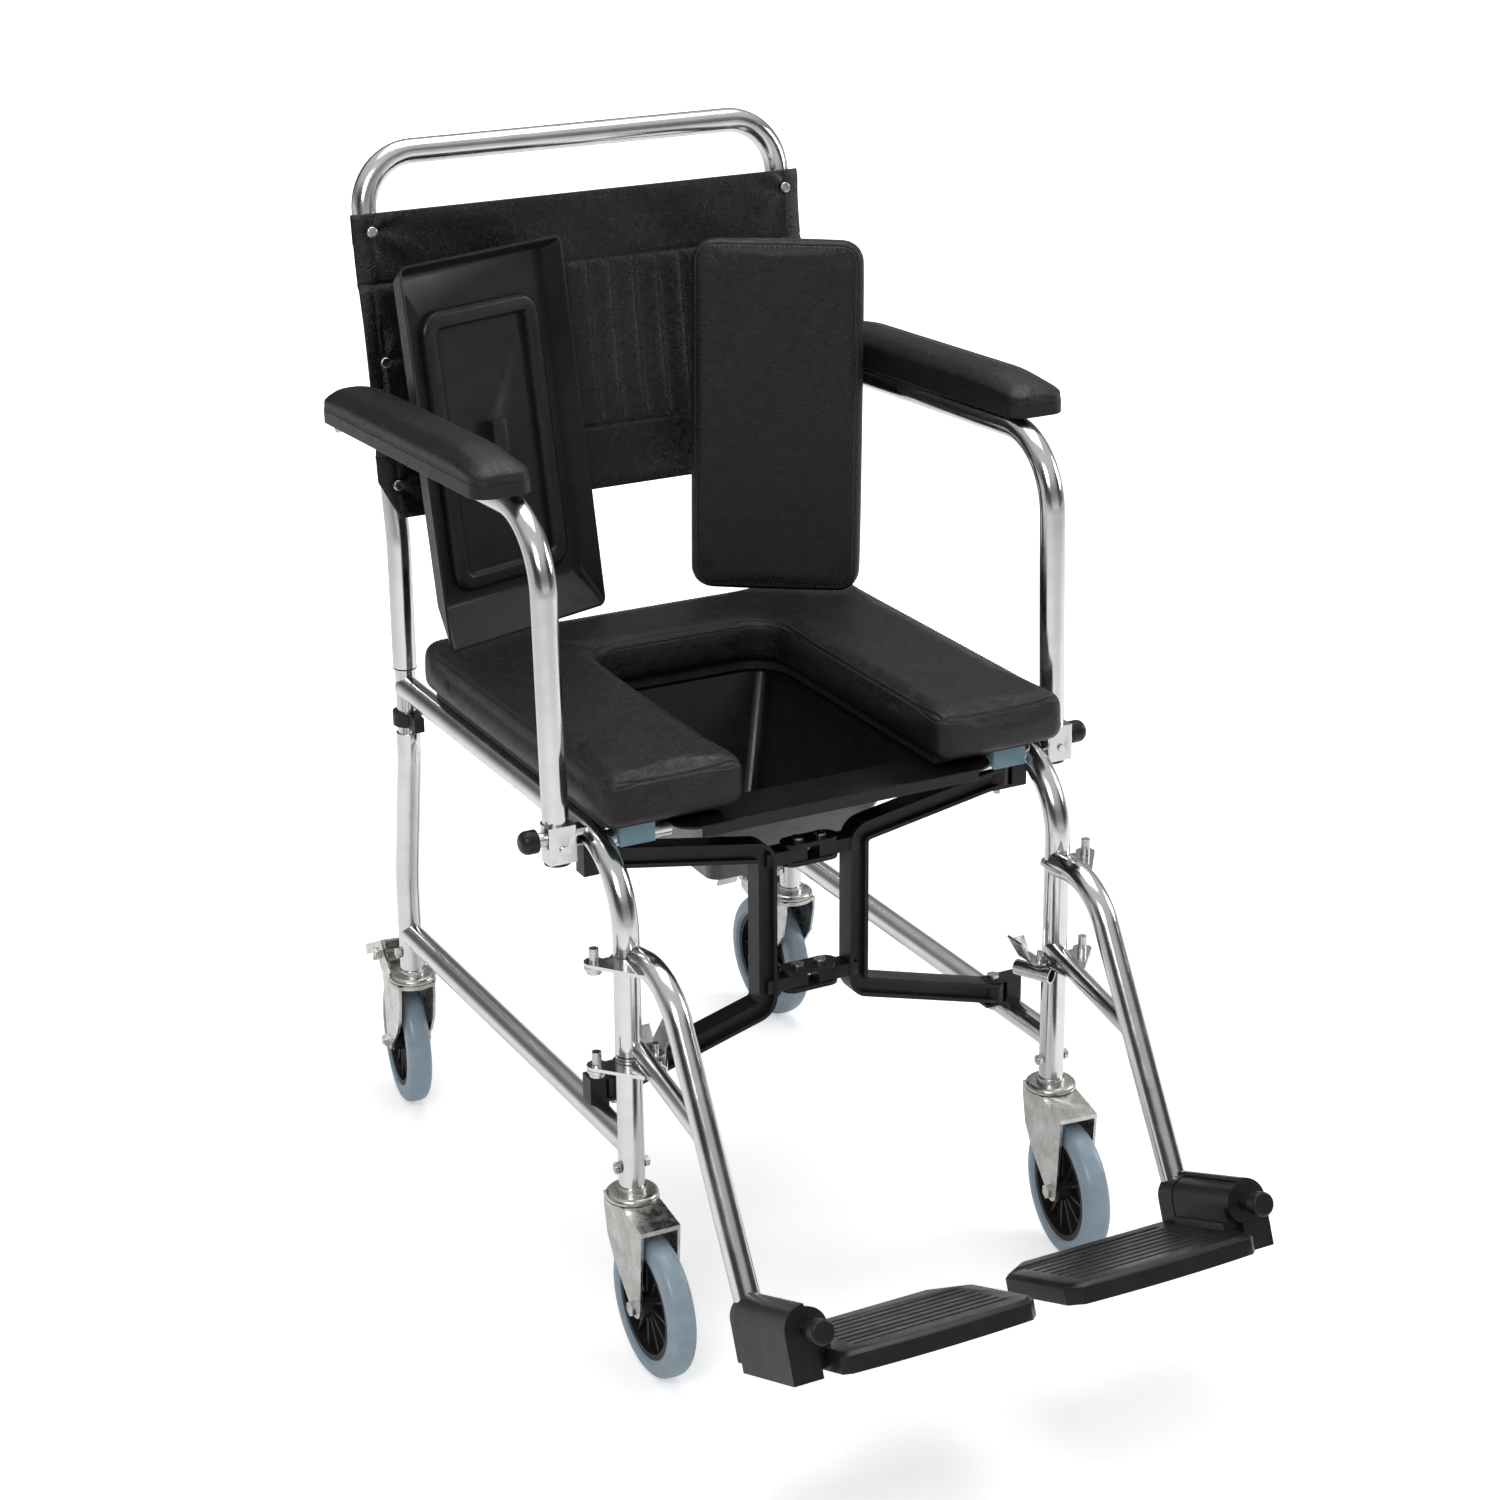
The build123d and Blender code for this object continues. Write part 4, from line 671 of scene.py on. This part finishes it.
def back_sling():
    """Sling: a line across, a little past both posts, carried up the back. The heights run up the back of
    the hem, over the top edge and down the front, and the same again at the foot. Seams and ribs are
    narrow bell-shaped valleys, and the screws pull the cloth into small dimples with puckers."""
    hem, roll = 0.026, 0.0008
    t = np.linspace(0, pi, 7)
    back, middle = 0.0004, 0.0012
    over = [(SLING_HIGH_H - roll + roll * np.sin(a), middle - roll * np.cos(a)) for a in t]
    up = [(SLING_HIGH_H - hem, back)] + over
    front_h = np.linspace(SLING_HIGH_H - 0.004, SLING_LOW_H + 0.004, 190)
    down = [(h, 0.0) for h in front_h]
    under = [(SLING_LOW_H + roll - roll * np.sin(a), middle + roll * np.cos(a)) for a in t]
    foot = under + [(SLING_LOW_H + hem, back)]
    h, off = np.array(up + down + foot).T
    front = slice(len(up), len(up) + len(down))
    near_edge = dell(SLING_HIGH_H - 0.009 - h[front], 0.010) + dell(h[front] - SLING_LOW_H - 0.009, 0.010)
    off[front] = 0.0019 + 0.0011 * np.minimum(near_edge, 1)
    cut = np.clip((h - SLING_LOW_H) / SLING_CUT, 0, 1)
    reach = SLING_FOOT_HALF * (1 - cut) + SLING_HALF * cut
    s = np.linspace(-1, 1, 300)[None, :] * reach[:, None]
    hh = h[:, None]
    past = np.maximum(np.abs(s) - HALF_TRACK, 0)
    x = s + 0 * hh
    y = -(TUBE_R + 0.0003) - off[:, None] + past ** 2 * (14 + 9 * np.sin(31 * hh + s))
    facing = np.zeros(len(h))
    facing[front] = 1
    facing = facing[:, None]
    pitch = 0.0236
    ribs = sum(dell(s - k * pitch, 0.0019) for k in range(-8, 9))
    below, above = SEAM_H
    between = smoothstep(below, below + 0.008, hh) * (1 - smoothstep(above - 0.008, above, hh))
    seams = dell(hh - SEAM_H[0], 0.0018) + dell(hh - SEAM_H[1], 0.0018)
    slack = 1 - (np.abs(s) / HALF_TRACK).clip(0, 1) ** 2
    belly = 0.006 * slack * np.sin(pi * ((hh - SLING_LOW_H) / (SLING_HIGH_H - SLING_LOW_H)).clip(0, 1))
    puffs = 0.0015 * np.abs(np.sin(pi * s / pitch)) ** 0.6
    sink = (0.0009 * ribs - puffs) * between + 0.0012 * seams
    for screw in SCREW_H:
        dx, dh = np.abs(s) - HALF_TRACK, hh - screw
        d = np.hypot(dx, dh)
        pull = np.arctan2(dh, -dx)
        puckers = 0.0013 * np.cos(5 * pull + 9 * screw) * dell(d - 0.022, 0.016) * (dx < 0)
        sink = sink + 0.0014 * dell(d, 0.008) - puckers
    ripple = 0.0006 * np.sin(61 * s + 38 * hh + 2.0 * np.sin(23 * hh)) * slack
    y = y + (sink + ripple) * facing + belly
    points = leaned(np.stack([x, y, hh + 0 * x], -1))
    mesh = raw_mesh("back_sling_cloth", points, skin(*s.shape))
    cloth = put("back_sling_sewn", mesh, SLING_VINYL, "frame", ["back_sling"])
    thick = cloth.modifiers.new("thickness", "SOLIDIFY")
    thick.thickness = 0.0011
    thick.offset = 0
    for number, height in enumerate(SEAM_H):
        run = np.linspace(-0.196, 0.196, 60)
        line = np.column_stack([run, np.full(60, -0.03), np.full(60, height + 0.0022)])
        across = leaned(np.array([[0, 1, 0], [0, 0, 0]]))
        stitch_line("sling_stitches_%d" % number, leaned(line), mesh, "frame",
                    0.0042, False, 0.0, across[0] - across[1])


# ---- film on the push bar ----
def bar_film():
    """Loose clear sleeve: a tube round the bar whose radius wanders with a few sines."""
    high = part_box("back_bow")[1]
    centre_y, centre_z = high[1] - TUBE_R, high[2] - TUBE_R
    x = np.linspace(-0.118, 0.132, 90)[:, None]
    a = np.linspace(0, 2 * pi, 60, endpoint=False)[None, :]
    waves = 0.0003 * np.sin(3 * a + 40 * x) + 0.00025 * np.sin(150 * x + 2 * a)
    loose = 0.0009 + waves + 0.0008 * dell(a - 4.2, 0.22)
    r = TUBE_R + loose
    points = np.stack([x + 0 * a, centre_y + r * np.cos(a), centre_z + r * np.sin(a)], -1)
    put("bar_film", raw_mesh("bar_film", points, skin(90, 60, False, True)), FILM, "frame")


# ---- painted shade: dark bands in the gaps where fittings meet the tubes ----
def painted_gap_shade_ring(name, x, y, z, radius, body="frame"):
    """A thin dark band round an upright tube, painted shade of the gap where a fitting meets it: a low
    half-round profile turned about the tube.
    """
    t = np.linspace(0, pi, 7)
    r = radius - 0.0002 + 0.0004 * np.sin(t)
    up = z - 0.0007 * np.cos(t)
    a = np.linspace(0, 2 * pi, 48, endpoint=False)[:, None]
    points = np.stack([x + r * np.cos(a), y + r * np.sin(a), up + 0 * a], -1)
    mesh = raw_mesh(name, points, skin(48, 7, True, True))
    tidy_shell(mesh)
    # the band's black finish paints the shade in the gap at the fitting
    put(name, mesh, SATIN, body)


# ---- making everything ----
for corner in CORNERS:
    tyre(corner)
seat_cushion()
insert_cushion()
for side, sign in SIDES.items():
    arm_pad(side)
    # dark bands that paint the shade in the gaps where the fittings meet the tubes
    painted_gap_shade_ring("rear_gap_shade_" + side, sign * HALF_TRACK, POST_Y, REAR_JOINT_Z, TUBE_R)
    painted_gap_shade_ring("leg_gap_shade_" + side, sign * HALF_TRACK, LEG_Y, LEG_JOINT_Z, TUBE_R)
back_sling()
done = {"seat_cushion", "insert_cushion", "arm_pad_L", "arm_pad_R", "back_sling"}
done |= {"caster_tyre_" + corner for corner in CORNERS}
for name in sorted(nodes):
    if name not in done:
        soften(name)


# ---- room, lights and camera ----
def floor():
    """Pale floor that stays white into the distance, brighter to the camera the farther away it is."""
    mesh = raw_mesh("floor", [(-9, -9, 0), (9, -9, 0), (9, 9, 0), (-9, 9, 0)], [(0, 1, 2, 3)])
    plane = bpy.data.objects.new("floor", mesh)
    bpy.context.scene.collection.objects.link(plane)
    pale = Finish("pale_floor", Roughness=0.8)
    pale.shader.inputs["Base Color"].default_value = (0.94, 0.94, 0.945, 1)
    pale.shader.inputs["Emission Color"].default_value = (1, 1, 1, 1)
    away = node(pale.tree, "ShaderNodeVectorMath", {0: pale.place}, operation="LENGTH").outputs["Value"]
    seen = node(pale.tree, "ShaderNodeLightPath").outputs["Is Camera Ray"]
    glow = pale.math("MULTIPLY", pale.spread(away, 0.8, 2.6, 0.42, 1.2), seen)
    pale.tree.links.new(glow, pale.shader.inputs["Emission Strength"])
    mesh.materials.append(pale.done())


def soft_light(name, place, aim, size, power):
    """A square soft light facing a point."""
    data = bpy.data.lights.new(name, "AREA")
    data.size = size
    data.energy = power
    lamp = bpy.data.objects.new(name, data)
    bpy.context.scene.collection.objects.link(lamp)
    lamp.location = place
    lamp.rotation_euler = (Vector(aim) - Vector(place)).to_track_quat("-Z", "Y").to_euler()


def room():
    """Pale room: bright above, darker at eye level, with dark upright screens between the soft lights."""
    world = bpy.data.worlds.new("studio")
    bpy.context.scene.world = world
    world.use_nodes = True
    tree = world.node_tree
    way = node(tree, "ShaderNodeTexCoord").outputs["Generated"]
    parts = node(tree, "ShaderNodeSeparateXYZ", {0: way}).outputs
    ramp = node(tree, "ShaderNodeValToRGB", {0: parts[2]})
    stops = ramp.color_ramp
    stops.elements[0].position, stops.elements[0].color = 0.0, (0.8, 0.8, 0.81, 1)
    stops.elements[1].position, stops.elements[1].color = 1.0, (1, 1, 1, 1)
    for place, shade in ((0.06, 0.55), (0.14, 0.34), (0.30, 0.26), (0.42, 0.45), (0.62, 0.95)):
        stops.elements.new(place).color = (shade, shade, shade * 1.01, 1)
    angle = node(tree, "ShaderNodeMath", {0: parts[1], 1: parts[0]}, operation="ARCTAN2").outputs[0]
    wave = node(tree, "ShaderNodeMath", {0: angle, 1: 3.0}, operation="MULTIPLY").outputs[0]
    wave = node(tree, "ShaderNodeMath", {0: wave}, operation="SINE").outputs[0]
    limits = {"Value": wave, "From Min": -0.55, "From Max": 0.45, "To Min": 0.22, "To Max": 1.35}
    screen = node(tree, "ShaderNodeMapRange", limits).outputs[0]
    limits = {"Value": parts[2], "From Min": 0.35, "From Max": 0.65, "To Min": 1.0, "To Max": 0.0}
    low = node(tree, "ShaderNodeMapRange", limits).outputs[0]
    dim = node(tree, "ShaderNodeMix", {0: low, 2: 1.0, 3: screen}, data_type="FLOAT").outputs[0]
    mixed = {0: 1.0, 6: ramp.outputs[0], 7: dim}
    shaded = node(tree, "ShaderNodeMix", mixed, data_type="RGBA", blend_type="MULTIPLY").outputs[2]
    seen = node(tree, "ShaderNodeLightPath").outputs["Is Camera Ray"]
    mixed = {0: seen, 6: shaded, 7: (2.2, 2.2, 2.2, 1)}
    pale = node(tree, "ShaderNodeMix", mixed, data_type="RGBA")
    tree.links.new(pale.outputs[2], tree.nodes["Background"].inputs[0])
    tree.nodes["Background"].inputs[1].default_value = 0.6


def camera():
    """Camera at eye height, aimed at the middle of the chair and turned a little about its own axis."""
    data = bpy.data.cameras.new("camera")
    data.sensor_width = 36
    data.lens = 75.06
    eye = bpy.data.objects.new("camera", data)
    bpy.context.scene.collection.objects.link(eye)
    place, aim = Vector((-1.1933, REAR_Y - 2.5897, 1.4348)), Vector((0.0364, REAR_Y - 0.2417, 0.4175))
    turn = (aim - place).to_track_quat("-Z", "Y") @ Quaternion((0, 0, 1), radians(-0.5))
    eye.location = place
    eye.rotation_euler = turn.to_euler()
    bpy.context.scene.camera = eye


floor()
room()
camera()
soft_light("key", (-1.9, -2.2, 2.6), (0, 0, 0.5), 1.3, 38)
soft_light("overhead", (0.3, 0.5, 3.0), (0, 0, 0.4), 2.0, 42)
soft_light("side", (2.6, -0.6, 1.5), (0, 0, 0.5), 1.0, 20)
bpy.context.scene.view_settings.view_transform = "Standard"
